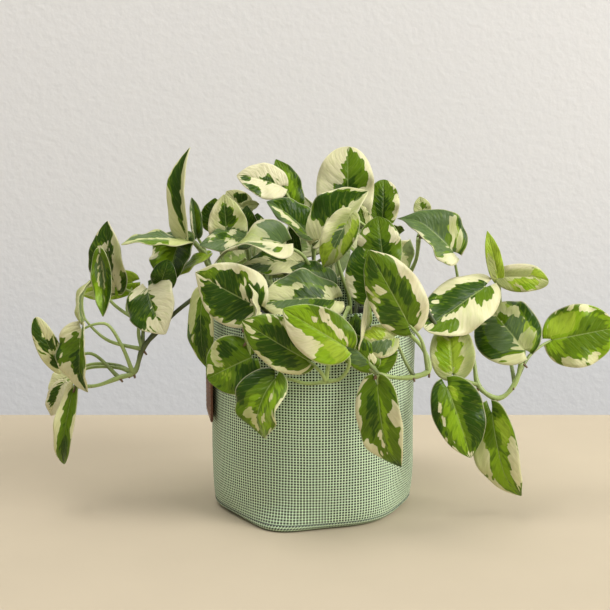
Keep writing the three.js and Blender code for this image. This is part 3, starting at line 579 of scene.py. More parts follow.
class Shader:
    """A material's or group's node tree, with short calls to fill it."""

    def __init__(self, tree: bpy.types.NodeTree) -> None:
        """Starts from an empty tree."""
        self.tree = tree
        tree.nodes.clear()

    def put(self, socket: Socket, value: Feed) -> None:
        """Feeds an input socket.

        Args:
            socket: The input socket.
            value: A socket to link it to, or its own value.
        """
        if isinstance(value, Socket):
            self.tree.links.new(value, socket)
        else:
            socket.default_value = (*value, 1.0) if socket.type == "RGBA" else value

    def node(self, kind: str, inputs: dict[str | int, Feed] | None = None,
             **settings: object) -> bpy.types.Node:
        """Adds a node.

        Args:
            kind: The node's type, without its ShaderNode prefix.
            inputs: Input socket names or numbers, with their values or sources.
            **settings: The node's own properties.

        Returns:
            The new node.
        """
        node = self.tree.nodes.new("ShaderNode" + kind)
        for key, value in settings.items():
            setattr(node, key, value)
        for key, value in (inputs or {}).items():
            self.put(node.inputs[key], value)
        return node

    def math(self, operation: str, *values: Feed) -> Socket:
        """Returns the result of a Math node."""
        return self.node("Math", dict(enumerate(values)), operation=operation).outputs[0]

    def swing(self, texture: Socket, reach: float, base: Feed) -> Socket:
        """Returns a base that a texture, taken from its middle, swings by a reach."""
        return self.math("MULTIPLY_ADD", self.math("SUBTRACT", texture, 0.5), reach, base)

    def step(self, value: Feed, low: float, high: float, top: float = 1.0) -> Socket:
        """Adds a smooth step.

        Args:
            value: The value that it runs over.
            low: Where it leaves 0.
            high: Where it reaches its top, which may lie below its start.
            top: Its height.

        Returns:
            The step's height at the value.
        """
        inputs = {"Value": value, "From Min": low, "From Max": high, "To Max": top}
        return self.node("MapRange", inputs, interpolation_type="SMOOTHSTEP").outputs[0]

    def mix(self, share: Feed, first: Feed, second: Feed) -> Socket:
        """Returns a colour mixed from two by the share of the second."""
        return self.node("Mix", {0: share, 6: first, 7: second}, data_type="RGBA").outputs[2]

    def noise(self, vector: Feed, scale: float, detail: float = 2.0) -> Socket:
        """Returns the value of a noise texture."""
        node = self.node("TexNoise", {"Vector": vector, "Scale": scale, "Detail": detail})
        return node.outputs["Fac"]

    def vector(self, *parts: Feed) -> Socket:
        """Returns a vector of three values."""
        return self.node("CombineXYZ", dict(enumerate(parts))).outputs[0]

    def attribute(self, name: str) -> Socket:
        """Returns a piece's own attribute as a value."""
        return self.node("Attribute", attribute_name=name).outputs["Fac"]

    def place(self) -> Socket:
        """Returns the piece's Object coordinates."""
        return self.node("TexCoord").outputs["Object"]

    def flat(self, uv_map: str) -> bpy.types.NodeOutputs:
        """Returns the two parts of a piece's own UV coordinates."""
        return self.node("SeparateXYZ", {0: self.node("UVMap", uv_map=uv_map).outputs[0]}).outputs

    def bump(self, height: Feed, distance: float, strength: float = 1.0,
             normal: Feed | None = None) -> Socket:
        """Adds a bump.

        Args:
            height: Its height.
            distance: How far a height of 1 stands out, in metres.
            strength: The share of it that shows.
            normal: The normal that it is laid over, if it isn't the mesh's own.

        Returns:
            The bumped normal.
        """
        inputs = {"Height": height, "Distance": distance, "Strength": strength}
        if normal is not None:
            inputs["Normal"] = normal
        return self.node("Bump", inputs).outputs[0]

    def surface(self, colour: Feed, roughness: Feed, normal: Feed | None = None,
                **constants: float) -> None:
        """Ends a material in a Principled shader.

        Args:
            colour: Its base colour.
            roughness: Its roughness.
            normal: Its normal, if it is bumped.
            **constants: Other sockets, with underscores for spaces.
        """
        inputs = {key.replace("_", " "): value for key, value in constants.items()}
        if normal is not None:
            inputs["Normal"] = normal
        self.close(self.node("BsdfPrincipled", {"Base Color": colour, "Roughness": roughness,
                                                **inputs}))

    def close(self, shader: bpy.types.Node) -> None:
        """Links the last shader to the material's output."""
        self.node("OutputMaterial", {"Surface": shader.outputs[0]})


GRAIN_DETAIL = 3.0


def grain_group() -> bpy.types.NodeTree:
    """Builds the fine surface grain that the plain finishes and the stems share, once.

    Returns:
        A group with inputs Scale and Depth and outputs Value and Normal.
    """
    name = "surface_grain"
    if name in bpy.data.node_groups:
        return bpy.data.node_groups[name]
    tree = bpy.data.node_groups.new(name, "ShaderNodeTree")
    shader = Shader(tree)
    for label, default in (("Scale", 900.0), ("Depth", 0.2 * MM)):
        socket = tree.interface.new_socket(label, in_out="INPUT", socket_type="NodeSocketFloat")
        socket.default_value = default
    tree.interface.new_socket("Value", in_out="OUTPUT", socket_type="NodeSocketFloat")
    tree.interface.new_socket("Normal", in_out="OUTPUT", socket_type="NodeSocketVector")
    given = tree.nodes.new("NodeGroupInput").outputs
    value = shader.noise(shader.place(), given["Scale"], GRAIN_DETAIL)
    out = tree.nodes.new("NodeGroupOutput")
    shader.put(out.inputs["Value"], value)
    shader.put(out.inputs["Normal"], shader.bump(value, given["Depth"]))
    return tree


def grained(shader: Shader, scale: float, depth: float) -> bpy.types.NodeOutputs:
    """Places the shared grain in a material.

    Args:
        shader: The material's node tree.
        scale: The grain's cells in a metre.
        depth: Its depth, in metres.

    Returns:
        The outputs Value and Normal.
    """
    node = shader.node("Group", node_tree=grain_group())
    node.inputs["Scale"].default_value = scale
    node.inputs["Depth"].default_value = depth
    return node.outputs


# Finishes


@dataclass(frozen=True)
class Finish:
    """A finish that builds its material once."""

    name: str

    def material(self) -> bpy.types.Material:
        """Builds the finish's material on the first call.

        Returns:
            The material.
        """
        if self.name in bpy.data.materials:
            return bpy.data.materials[self.name]
        made = bpy.data.materials.new(self.name)
        made.use_nodes = True
        self.fill(Shader(made.node_tree))
        return made

    def fill(self, shader: Shader) -> None:
        """Fills the material's node tree."""
        raise NotImplementedError


class Cells(NamedTuple):
    """A noise that follows a blade's veins: its cells across and along, detail and shift."""

    across: float
    along: float
    detail: float
    shift: float = 0.0


@dataclass(frozen=True)
class BladeFields:
    """What a blade's colours and relief share.

    Attributes:
        out: The way out from the midrib, from 0 to 1.
        along: The way from base to tip, from 0 to 1.
        ridge: The way across the ridge between two side veins, from 0 to 1.
        seed: The blade's own chance value.
        lobes: A coarse noise, which shapes the edges of the green.
        mottle: A finer noise, which shades it.
        streaks: A narrow noise along the veins.
    """

    out: Socket
    along: Socket
    ridge: Socket
    seed: Socket
    lobes: Socket
    mottle: Socket
    streaks: Socket


@dataclass(frozen=True)
class BladeFinish(Finish):
    """Variegated leaf blade: green lobes that follow the veins on a cream ground."""

    name: str = "variegated_blade"
    cream: Colour = (0.74, 0.70, 0.46)
    yellow: Colour = (0.60, 0.65, 0.20)
    bright: Colour = (0.25, 0.42, 0.010)
    dark: Colour = (0.025, 0.068, 0.0005)
    # Grey-green: partly the blade's own colour, partly painted sheen.
    grey_and_sheen: Colour = (0.085, 0.135, 0.055)
    lime: Colour = (0.38, 0.52, 0.04)
    underside: Colour = (0.30, 0.36, 0.16)
    vein: Colour = (0.36, 0.44, 0.15)
    vein_rise: float = 0.32
    vein_pairs: float = 9.0
    side_shift: float = 3.7
    lobe_cells: Cells = Cells(2.0, 8.0, 1.0)
    mottle_cells: Cells = Cells(3.5, 15.0, 1.5, 9.0)
    streak_cells: Cells = Cells(3.0, 26.0, 2.0)
    lobe_reach: float = 2.6
    streak_reach: float = 0.4
    green_edge: Band = Band(-0.13, -0.03)
    lobe_wobble: float = 0.5
    mottle_wobble: float = 0.8
    depth_wobble: float = 0.8
    depth_bands: tuple[Band, ...] = (Band(0.42, 0.5, 0.45), Band(0.8, 0.88, 0.3))
    streak_depth: float = 0.5
    streak_band: Band = Band(0.0, 1.0, 0.25)
    tint_band: Band = Band(0.42, 0.54, 0.8)
    mottle_shade: Band = Band(0.46, 0.74, 0.35)
    green_streaks: Band = Band(0.52, 0.72, 0.16)
    cream_streaks: Band = Band(0.4, 0.8, 0.22)
    chance_pace: float = 7.13
    yellow_share: float = 0.45
    grey_share: float = 0.5
    rib_width: float = 0.042
    rib_narrowing: float = 0.03
    rib_band: Band = Band(1.0, 0.2, 0.5)
    furrow_band: Band = Band(0.44, 0.5, 0.12)
    # A thin cream edge round the blade: partly its margin, partly a painted edge highlight.
    rim_cream_and_highlight: Band = Band(0.95, 1.0, 0.55)
    underside_share: float = 0.45
    ridge_band: Band = Band(1.0, 0.6, 0.35)
    rib_groove: Band = Band(0.0, 0.12)
    mottle_relief: float = 1.6
    relief: float = 0.5 * MM
    streak_relief: float = 0.15 * MM
    roughness: float = 0.34
    roughness_swing: float = 0.12
    underside_roughness: float = 0.25

    def fields(self, shader: Shader) -> BladeFields:
        """Builds the fields that the blade's colours and relief share.

        Args:
            shader: The material's node tree.

        Returns:
            The fields.
        """
        uv = shader.flat("blade")
        across = shader.math("MULTIPLY_ADD", uv[0], 2.0, -1.0)
        out = shader.math("ABSOLUTE", across)
        rank = shader.math("MULTIPLY_ADD", out, -self.vein_rise, uv[1])
        seed = shader.attribute("seed")
        shift = shader.math("MULTIPLY_ADD", shader.math("SIGN", across), self.side_shift, seed)

        def texture(cells: Cells) -> Socket:
            """Adds a noise that follows the veins.

            Args:
                cells: Its cells.

            Returns:
                The noise's value.
            """
            place = shader.vector(shader.math("MULTIPLY", out, cells.across),
                                  shader.math("MULTIPLY", rank, cells.along),
                                  shader.math("ADD", shift, cells.shift))
            return shader.noise(place, 1.0, cells.detail)

        ridge = shader.math("FRACT", shader.math("MULTIPLY", rank, self.vein_pairs))
        return BladeFields(out, uv[1], ridge, seed, texture(self.lobe_cells),
                           texture(self.mottle_cells), texture(self.streak_cells))

    def green(self, shader: Shader, at: BladeFields) -> Socket:
        """Builds the colour of the green parts, from bright to dark in layers.

        Args:
            shader: The material's node tree.
            at: The blade's fields.

        Returns:
            The colour.
        """
        wobble = shader.swing(at.lobes, self.lobe_wobble,
                              shader.swing(at.mottle, self.mottle_wobble, 0.0))
        base = shader.attribute("depth")
        depth = shader.step(shader.swing(at.streaks, self.streak_depth, base), *self.streak_band)
        layered = shader.math("MULTIPLY_ADD", wobble, self.depth_wobble, base)
        for band in self.depth_bands:
            depth = shader.math("ADD", shader.step(layered, *band), depth)
        colour = shader.mix(depth, self.bright, self.dark)
        # The sage value lays on the grey-green, which is partly painted sheen, and the lime value
        # lays on lime.
        for name, tint in (("sage", self.grey_and_sheen), ("lime", self.lime)):
            tinted = shader.math("ADD", wobble, shader.attribute(name))
            colour = shader.mix(shader.step(tinted, *self.tint_band), colour, tint)
        colour = shader.mix(shader.step(at.mottle, *self.mottle_shade), colour, self.dark)
        return shader.mix(shader.step(at.streaks, *self.green_streaks), colour, self.lime)

    def pale(self, shader: Shader, at: BladeFields) -> Socket:
        """Builds the colour of the cream parts, which differs a little from blade to blade.

        Args:
            shader: The material's node tree.
            at: The blade's fields.

        Returns:
            The colour.
        """
        chance = shader.math("FRACT", shader.math("MULTIPLY", at.seed, self.chance_pace))
        colour = shader.mix(shader.math("MULTIPLY", chance, self.yellow_share), self.cream,
                            self.yellow)
        colour = shader.mix(shader.attribute("lime"), colour, self.yellow)
        # The sage value greys the cream too, with the grey-green that is partly painted sheen.
        greyed = shader.math("MULTIPLY", shader.attribute("sage"), self.grey_share)
        colour = shader.mix(greyed, colour, self.grey_and_sheen)
        return shader.mix(shader.step(at.streaks, *self.cream_streaks), colour, self.lime)

    def normal(self, shader: Shader, at: BladeFields) -> Socket:
        """Builds the relief: a groove at the midrib, ridges between the side veins, and streaks.

        Args:
            shader: The material's node tree.
            at: The blade's fields.

        Returns:
            The normal.
        """
        arch = shader.math("SINE", shader.math("MULTIPLY", at.ridge, math.pi))
        ridges = shader.math("MULTIPLY", shader.math("POWER", arch, 0.5),
                             shader.step(at.out, *self.ridge_band))
        height = shader.math("ADD", ridges, shader.step(at.out, *self.rib_groove))
        height = shader.math("MULTIPLY_ADD", at.mottle, self.mottle_relief, height)
        normal = shader.bump(height, self.relief, 0.7)
        return shader.bump(at.streaks, self.streak_relief, 0.5, normal)

    def fill(self, shader: Shader) -> None:
        """Fills the blade's node tree.

        Args:
            shader: The material's node tree.
        """
        at = self.fields(shader)
        edge = shader.swing(at.lobes, self.lobe_reach, shader.attribute("green"))
        edge = shader.swing(at.streaks, self.streak_reach, edge)
        colour = shader.mix(shader.step(edge, *self.green_edge), self.pale(shader, at),
                            self.green(shader, at))
        width = shader.math("MULTIPLY_ADD", at.along, -self.rib_narrowing, self.rib_width)
        rib = shader.math("DIVIDE", at.out, width)
        colour = shader.mix(shader.step(rib, *self.rib_band), colour, self.vein)
        furrow = shader.math("ABSOLUTE", shader.math("SUBTRACT", at.ridge, 0.5))
        colour = shader.mix(shader.step(furrow, *self.furrow_band), colour, self.vein)
        # Paints the thin cream edge, partly the blade's margin and partly a painted edge highlight.
        colour = shader.mix(shader.step(at.out, *self.rim_cream_and_highlight), colour, self.cream)
        below = shader.attribute("under")
        colour = shader.mix(shader.math("MULTIPLY", below, self.underside_share), colour,
                            self.underside)
        roughness = shader.swing(at.streaks, self.roughness_swing, self.roughness)
        roughness = shader.math("MULTIPLY_ADD", below, self.underside_roughness, roughness)
        shader.surface(colour, roughness, self.normal(shader, at), Coat_Weight=0.03,
                       Coat_Roughness=0.2, Specular_IOR_Level=0.2)


@dataclass(frozen=True)
class StemFinish(Finish):
    """Stems and petioles: fleshy green that darkens with age, with brown scars and roots."""

    name: str = "fleshy_stem"
    young: Colour = (0.34, 0.44, 0.13)
    old: Colour = (0.065, 0.085, 0.022)
    bark: Colour = (0.15, 0.075, 0.035)
    grain: float = 700.0
    grain_depth: float = 0.15 * MM
    blotches: float = 110.0
    blotch_reach: float = 0.8
    scars: float = 420.0
    scar_band: Band = Band(0.64, 0.72, 0.6)
    roughness: float = 0.45
    roughness_swing: float = 0.3

    def fill(self, shader: Shader) -> None:
        """Fills the stem's node tree.

        Args:
            shader: The material's node tree.
        """
        grain = grained(shader, self.grain, self.grain_depth)
        place = shader.place()
        aged = shader.swing(shader.noise(place, self.blotches, 3.0), self.blotch_reach,
                            shader.attribute("age"))
        colour = shader.mix(shader.step(aged, 0.0, 1.0), self.young, self.old)
        scars = shader.step(shader.noise(place, self.scars), *self.scar_band)
        for share in (scars, shader.attribute("bark")):
            colour = shader.mix(share, colour, self.bark)
        roughness = shader.swing(grain["Value"], self.roughness_swing, self.roughness)
        shader.surface(colour, roughness, grain["Normal"], Coat_Weight=0.15, Coat_Roughness=0.3)


@dataclass(frozen=True)
class WeaveFinish(Finish):
    """Open plastic-coated weave: pale upright strands over sage ones, with holes painted near black
    for the black pot behind them and painted shade.
    """

    name: str = "open_weave"
    pitch: float = 2.05 * MM
    rise: float = 1.85 * MM
    pale: Colour = (0.84, 1.0, 0.74)
    sage: Colour = (0.64, 0.83, 0.53)
    # The holes' colour: the black pot behind the weave, darkened further as painted shade.
    hole: Colour = (0.006, 0.011, 0.005)
    shade: Colour = (0.32, 0.46, 0.24)
    hole_sizes: tuple[float, float] = (0.33, 0.29)
    hole_blur: float = 0.05
    wander: float = 60.0
    wander_reach: float = 0.25
    fibre: float = 1.3
    fibre_band: Band = Band(0.3, 0.75, 0.35)
    crossing_lift: float = 0.25
    strand_dip: float = 0.3
    relief: float = 0.5 * MM
    roughness: float = 0.6
    roughness_swing: float = 0.2

    def fill(self, shader: Shader) -> None:
        """Fills the weave's node tree.

        Args:
            shader: The material's node tree.
        """
        uv = shader.flat("cloth")
        wander = shader.noise(shader.place(), self.wander)
        cells, holes = [], []
        for part, pitch, size in zip(uv, (self.pitch, self.rise), self.hole_sizes):
            cell = shader.math("MULTIPLY_ADD", wander, self.wander_reach,
                               shader.math("DIVIDE", part, pitch))
            off = shader.math("SUBTRACT", shader.math("FRACT", cell), 0.5)
            holes.append(shader.step(shader.math("ABSOLUTE", off), size + self.hole_blur,
                                     size - self.hole_blur))
            cells.append(cell)
        hole = shader.math("MULTIPLY", *holes)
        fibre = shader.noise(shader.vector(shader.math("MULTIPLY", cells[0], 2.0), cells[1]),
                             self.fibre)
        strand = shader.mix(holes[0], self.pale, self.sage)
        strand = shader.mix(shader.step(fibre, *self.fibre_band), strand, self.shade)
        # Paints the holes near black: the black pot seen through them, with painted shade.
        colour = shader.mix(hole, strand, self.hole)
        floors = [shader.math("FLOOR", cell) for cell in cells]
        odd = shader.math("PINGPONG", shader.math("ADD", *floors), 1.0)
        crown = shader.math("MULTIPLY_ADD", odd, self.crossing_lift,
                            shader.math("SUBTRACT", 1.0, hole))
        crown = shader.math("MULTIPLY_ADD", holes[0], -self.strand_dip, crown)
        shader.surface(colour, shader.swing(fibre, self.roughness_swing, self.roughness),
                       shader.bump(crown, self.relief, 0.8), Specular_IOR_Level=0.2)


@dataclass(frozen=True)
class PlainFinish(Finish):
    """Moulded or pressed stuff: two shades mixed by a mottle, over a fine grain."""

    name: str
    light: Colour
    dark: Colour
    mottle: float = 60.0
    grain: float = 900.0
    depth: float = 0.15 * MM
    roughness: float = 0.55
    mottle_band: Band = Band(0.35, 0.65)
    roughness_swing: float = 0.2

    def fill(self, shader: Shader) -> None:
        """Fills the finish's node tree.

        Args:
            shader: The material's node tree.
        """
        grain = grained(shader, self.grain, self.depth)
        mottle = shader.noise(shader.place(), self.mottle, 4.0)
        colour = shader.mix(shader.step(mottle, *self.mottle_band), self.dark, self.light)
        roughness = shader.swing(grain["Value"], self.roughness_swing, self.roughness)
        shader.surface(colour, roughness, grain["Normal"])


BLADE = BladeFinish()
STEM = StemFinish()
WEAVE = WeaveFinish()
LINING = PlainFinish("dark_lining", (0.10, 0.13, 0.10), (0.06, 0.08, 0.065), 120.0, 1600.0,
                     0.4 * MM, 0.9)
POT_PLASTIC = PlainFinish("black_plastic", (0.03, 0.03, 0.028), (0.015, 0.015, 0.014))
MIX = PlainFinish("potting_mix", (0.075, 0.045, 0.025), (0.018, 0.011, 0.007), 260.0, 1500.0,
                  1.2 * MM, 0.95)
BARK = PlainFinish("bark_chip", (0.16, 0.085, 0.04), (0.05, 0.026, 0.013), 180.0, 1200.0,
                   0.6 * MM, 0.9)
TAG_HIDE = PlainFinish("tag_hide", (0.20, 0.085, 0.04), (0.11, 0.042, 0.02), 90.0, 1400.0,
                       0.3 * MM, 0.6)
TAG_THREAD = PlainFinish("tag_thread", (0.50, 0.36, 0.22), (0.36, 0.24, 0.14))


# Making and registering pieces

CURVE_STEPS = 12
HALF_TURN = 180.0


def register(name: str, shape: Mesh, slot: str, *finishes: Finish,
             stands_for: Sequence[str] = ()) -> None:
    """Makes a finished piece of a bmesh and lets it ride on the plant's one body.

    Args:
        name: The piece's name.
        shape: Its mesh, which is used up.
        slot: The record's material slot, which is not used.
        *finishes: Its finishes, in the order of the faces' material numbers.
        stands_for: The nodes that it replaces.
    """
    piece = add_object(name, shape, *finishes)
    piece.data.shade_smooth()
    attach(piece, ROOT)
    if stands_for:
        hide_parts(*stands_for)
    log.info("%s: %d faces", name, len(piece.data.polygons))


def add_object(name: str, shape: Mesh, *finishes: Finish) -> bpy.types.Object:
    """Makes an object of a bmesh.

    Args:
        name: The object's name.
        shape: Its mesh, which is used up.
        *finishes: Its finishes, in the order of the faces' material numbers.

    Returns:
        The new object.
    """
    mesh = bpy.data.meshes.new(name)
    shape.to_mesh(mesh)
    shape.free()
    for finish in finishes:
        mesh.materials.append(finish.material())
    made = bpy.data.objects.new(name, mesh)
    bpy.context.scene.collection.objects.link(made)
    return made


def bevel(shape: Mesh, edges: Sequence[bmesh.types.BMEdge], width: float, segments: int) -> None:
    """Rounds edges by a width in millimetres."""
    bmesh.ops.bevel(shape, geom=edges, offset=width * MM, affect="EDGES", segments=segments,
                    profile=0.5, material=-1)


def add_block(shape: Mesh, matrix: Matrix, width: float) -> None:
    """Adds a block with bevelled edges to a mesh.

    Args:
        shape: The mesh.
        matrix: The block's size, turn and place, in metres.
        width: The width of its bevels, in millimetres.
    """
    corners = bmesh.ops.create_cube(shape, size=1.0, matrix=matrix)["verts"]
    bevel(shape, list({edge for vert in corners for edge in vert.link_edges}), width, 1)


def degrees_past(angle: float, middle: float) -> float:
    """Returns how many degrees an angle in radians lies past a middle one in degrees."""
    return (math.degrees(angle) - middle + HALF_TURN) % (2 * HALF_TURN) - HALF_TURN


def nearest(line: Sequence[Vector], point: Vector) -> int:
    """Returns the number of the line's point that is nearest to a point."""
    return min(range(len(line)), key=lambda k: (line[k] - point).length)


def curve_through(points: Sequence[Point | Vector], spacing: float) -> list[Vector]:
    """Samples a smooth curve through points, the same as the solids' curves.

    Args:
        points: The points that it passes, in millimetres.
        spacing: The distance between samples, in millimetres.

    Returns:
        Evenly spaced points from the first to the last.
    """
    known = [Vector(p) for p in points]
    known = [2 * known[0] - known[1], *known, 2 * known[-1] - known[-2]]
    fine: list[Vector] = []
    for p0, p1, p2, p3 in zip(known, known[1:], known[2:], known[3:]):
        d1, d2, d3 = (max(1e-4, (b - a).length ** 0.5) for a, b in ((p0, p1), (p1, p2), (p2, p3)))
        m1 = ((p1 - p0) / d1 - (p2 - p0) / (d1 + d2) + (p2 - p1) / d2) * d2
        m2 = ((p2 - p1) / d2 - (p3 - p1) / (d2 + d3) + (p3 - p2) / d3) * d2
        for i in range(CURVE_STEPS):
            t = i / CURVE_STEPS
            fine.append(p1 * (2 * t**3 - 3 * t**2 + 1) + m1 * (t**3 - 2 * t**2 + t)
                        + p2 * (3 * t**2 - 2 * t**3) + m2 * (t**3 - t**2))
    fine.append(known[-2])
    return evenly(fine, spacing)


def evenly(line: Sequence[Vector], spacing: float) -> list[Vector]:
    """Samples a line of many points at even distances.

    Args:
        line: The line's points.
        spacing: The distance between samples.

    Returns:
        At least four points, from the line's first to its last.
    """
    lengths = [0.0]
    for a, b in zip(line, line[1:]):
        lengths.append(lengths[-1] + (b - a).length)
    count = max(3, round(lengths[-1] / spacing))
    samples, j = [], 0
    for i in range(count + 1):
        goal = lengths[-1] * i / count
        while j < len(line) - 2 and lengths[j + 1] < goal:
            j += 1
        share = (goal - lengths[j]) / max(1e-9, lengths[j + 1] - lengths[j])
        samples.append(line[j].lerp(line[j + 1], share))
    return samples


# The plant

# The sage value is the share of grey-green, which is partly painted sheen.
BLADE_VALUES = ("green", "depth", "sage", "lime", "seed", "under")
SEEDS_PER_VINE = 100
AGE_SEEDS_PER_VINE = 50
ROOT_SEED = 700
PETIOLE_AGES = (0.15, 0.25, 0.3, 0.45, 0.6, 0.85)
ROOTS_PER_NODE = (1, 1, 2)
RIB_STEPS = 10


class Axes(NamedTuple):
    """A blade's axes along it, out of its face and across it, and its length."""

    along: Vector
    face: Vector
    across: Vector
    length: float


@dataclass
class Blades:
    """The blades of one vine, as one piece. A blade's phase sets its waves and free bends."""

    plan: VinePlan
    order: int
    rows: int = 40
    columns: int = 16
    thickness: float = 0.55
    front: Point = (0.0, -0.98, 0.2)
    fullness: float = 2.1
    blunting: float = 0.27
    base_power: float = 0.42
    tip_power: float = 0.72
    notch: float = 0.1
    notch_power: float = 12.0
    tip_pinch: float = 0.35
    tip_start: float = 0.78
    pinch_span: float = 0.32
    lobe_sweep: float = 0.14
    edge_drop: float = 0.16
    wave_height: float = 0.09
    waves_per_edge: float = 2.2
    wave_step: float = 1.7
    wave_offset: float = 1.3
    flutter: float = 0.3
    flutter_pace: float = 3.1
    flutter_rate: float = 4.2
    unevenness: float = 0.09
    lean_pace: float = 2.3
    rib_rounding: float = 0.06
    bend_start: float = 0.6
    curl_swing: float = 0.07
    curl_pace: float = 1.9
    curl_droop: float = 0.03
    sway_swing: float = 0.05
    sway_pace: float = 3.7
    row_bunching: float = 0.08
    ripple: float = 0.8
    ripple_rates: tuple[float, float] = (1.5, 4.0)
    probe: tuple[float, float] = (0.05, 0.02)

    def axes(self, row: Leaf) -> Axes:
        """Works out a blade's axes.

        Args:
            row: The leaf's plan.

        Returns:
            The axes, of which the face is turned from the front by the plan's turn.
        """
        along = Vector(row.tip) - Vector(row.base)
        length = along.length
        along.normalize()
        front = Vector(self.front)
        face = (front - along * front.dot(along)).normalized()
        face.rotate(Matrix.Rotation(math.radians(row.turn), 3, along))
        return Axes(along, face, along.cross(face), length)

    def outline(self, v: float, blunt: float) -> float:
        """Works out the outline of the heart-shaped blade.

        Args:
            v: Place along the blade.
            blunt: How rounded its tip is, from 0 to 1.

        Returns:
            The half width as a share of the widest.
        """
        left = max(1.0 - v, 0.0)
        blunted = self.blunting * blunt
        heart = ((self.fullness - blunted) * max(v, 0.0) ** self.base_power
                 * left ** (self.tip_power - blunted))
        opened = math.hypot(heart, self.notch * left ** self.notch_power)
        pinch = self.tip_pinch * (1.0 - blunt)
        return opened * (1.0 - pinch * smooth((v - self.tip_start) / self.pinch_span))

    def wave(self, phase: float, u: float, v: float) -> float:
        """Works out how far the blade's edge waves out of its face.

        Args:
            phase: Where its edge wave starts.
            u: Place across, from -1 to 1.
            v: Place along, from base to tip.

        Returns:
            The wave's height, as a share of the half width.
        """
        start = phase + self.wave_offset if u > 0 else phase
        even = self.wave_height * math.sin(2 * math.pi * self.waves_per_edge * v + start)
        at = Vector((start * self.flutter_pace, v * self.flutter_rate, phase))
        return even + self.flutter * noise.noise(at) * abs(u)

    def point(self, row: Leaf, axes: Axes, phase: float, u: float, v: float) -> Vector:
        """Places a point of a blade's middle surface.

        Args:
            row: The leaf's plan.
            axes: Its axes and length.
            phase: Where its edge wave starts.
            u: Place across, from -1 to 1.
            v: Place along, from base to tip.

        Returns:
            The point, in millimetres.
        """
        along, plain_face, across, length = axes
        spin = Matrix.Rotation(math.radians(row.twist * (v - 0.5)), 3, along)
        face, across = spin @ plain_face, spin @ across
        lean = self.unevenness * math.sin(self.lean_pace * phase)
        half = row.width / 2 * self.outline(v, row.blunt) * (1.0 + lean * u)
        fold = math.radians(row.fold)
        soft = math.hypot(abs(u), self.rib_rounding) - self.rib_rounding
        lift = soft * half * math.sin(fold)
        lift += half * u * u * (self.wave(phase, u, v) - self.edge_drop)
        sweep = self.lobe_sweep * length * u * u * (1 - v) ** 3
        late = max(0.0, (v - self.bend_start) / (1 - self.bend_start)) ** 2
        curl, sway = row.curl, row.sway
        if curl is None:
            curl = self.curl_swing * math.sin(self.curl_pace * phase) - self.curl_droop
        if sway is None:
            sway = self.sway_swing * math.sin(self.sway_pace * phase)
        return (Vector(row.base) + along * (length * v - sweep) + face * lift
                + plain_face * length * (row.arch * 4 * v * (1 - v) + curl * late)
                + across * (u * half * math.cos(fold) + sway * length * late))

    def phase(self, i: int) -> float:
        """Returns where the edge wave of leaf i starts."""
        return self.wave_step * (i + self.order)

    def behind_rib(self, i: int, v: float, depth: float) -> Vector:
        """Places a point behind a blade's midrib.

        Args:
            i: The leaf's number.
            v: Place along the midrib, from base to tip.
            depth: How far the point lies behind it, in millimetres.

        Returns:
            The point, in millimetres.
        """
        row, phase = self.plan.leaves[i], self.phase(i)
        axes = self.axes(row)
        du, dv = self.probe
        at = self.point(row, axes, phase, 0.0, v)
        ahead = self.point(row, axes, phase, 0.0, v + dv) - at
        aside = self.point(row, axes, phase, du, v) - self.point(row, axes, phase, -du, v)
        return at - aside.cross(ahead).normalized() * depth

    def add_blade(self, shape: Mesh, i: int) -> None:
        """Adds one blade to the vine's mesh: a grid bent to its form, then thickened.

        Args:
            shape: The vine's mesh of blades.
            i: The leaf's number.
        """
        row = self.plan.leaves[i]
        draw = random.Random(SEEDS_PER_VINE * self.order + i)
        pattern = row.look or chance_look(draw)
        seed = draw.uniform(0.0, 50.0)
        layers = [shape.verts.layers.float[name] for name in BLADE_VALUES]
        uv_layer = shape.loops.layers.uv["blade"]
        verts = bmesh.ops.create_grid(shape, x_segments=self.columns, y_segments=self.rows,
                                      size=1.0)["verts"]
        for loop in (loop for vert in verts for loop in vert.link_loops):
            u, v = self.across_along(loop.vert.co)
            loop[uv_layer].uv = ((u + 1.0) / 2.0, v)
        axes = self.axes(row)
        for vert in verts:
            u, v = self.across_along(vert.co)
            rate_u, rate_v = self.ripple_rates
            ripple = noise.noise(Vector((u * rate_u, v * rate_v, seed))) * self.ripple * (1.0 - v)
            vert.co = (self.point(row, axes, self.phase(i), u, v) + axes.face * ripple) * MM
            for layer, value in zip(layers, (*pattern.values_at(u, v), seed, 0.0)):
                vert[layer] = value
        bmesh.ops.remove_doubles(shape, verts=verts, dist=WELD)
        self.thicken(shape, [vert for vert in verts if vert.is_valid], layers[-1])

    def thicken(self, shape: Mesh, verts: Sequence[bmesh.types.BMVert],
                under: bmesh.types.BMLayerItem) -> None:
        """Gives a blade its thickness and marks its underside.

        Args:
            shape: The vine's mesh of blades.
            verts: The blade's vertices.
            under: The layer that marks the underside.
        """
        faces = list({face for vert in verts for face in vert.link_faces})
        shape.normal_update()
        before = set(shape.verts)
        bmesh.ops.solidify(shape, geom=faces, thickness=self.thickness * MM)
        for vert in set(shape.verts) - before:
            vert[under] = 1.0

    def across_along(self, flat: Vector) -> tuple[float, float]:
        """Returns the blade's u and v for a corner of the flat grid."""
        t = (flat.y + 1.0) / 2.0
        return flat.x, t - self.row_bunching * math.sin(2 * math.pi * t)

    def build(self) -> Mesh:
        """Builds all the vine's blades.

        Returns:
            Their mesh, with its layers.
        """
        shape = bmesh.new()
        for name in BLADE_VALUES:
            shape.verts.layers.float.new(name)
        shape.loops.layers.uv.new("blade")
        for i in range(len(self.plan.leaves)):
            self.add_blade(shape, i)
        return shape


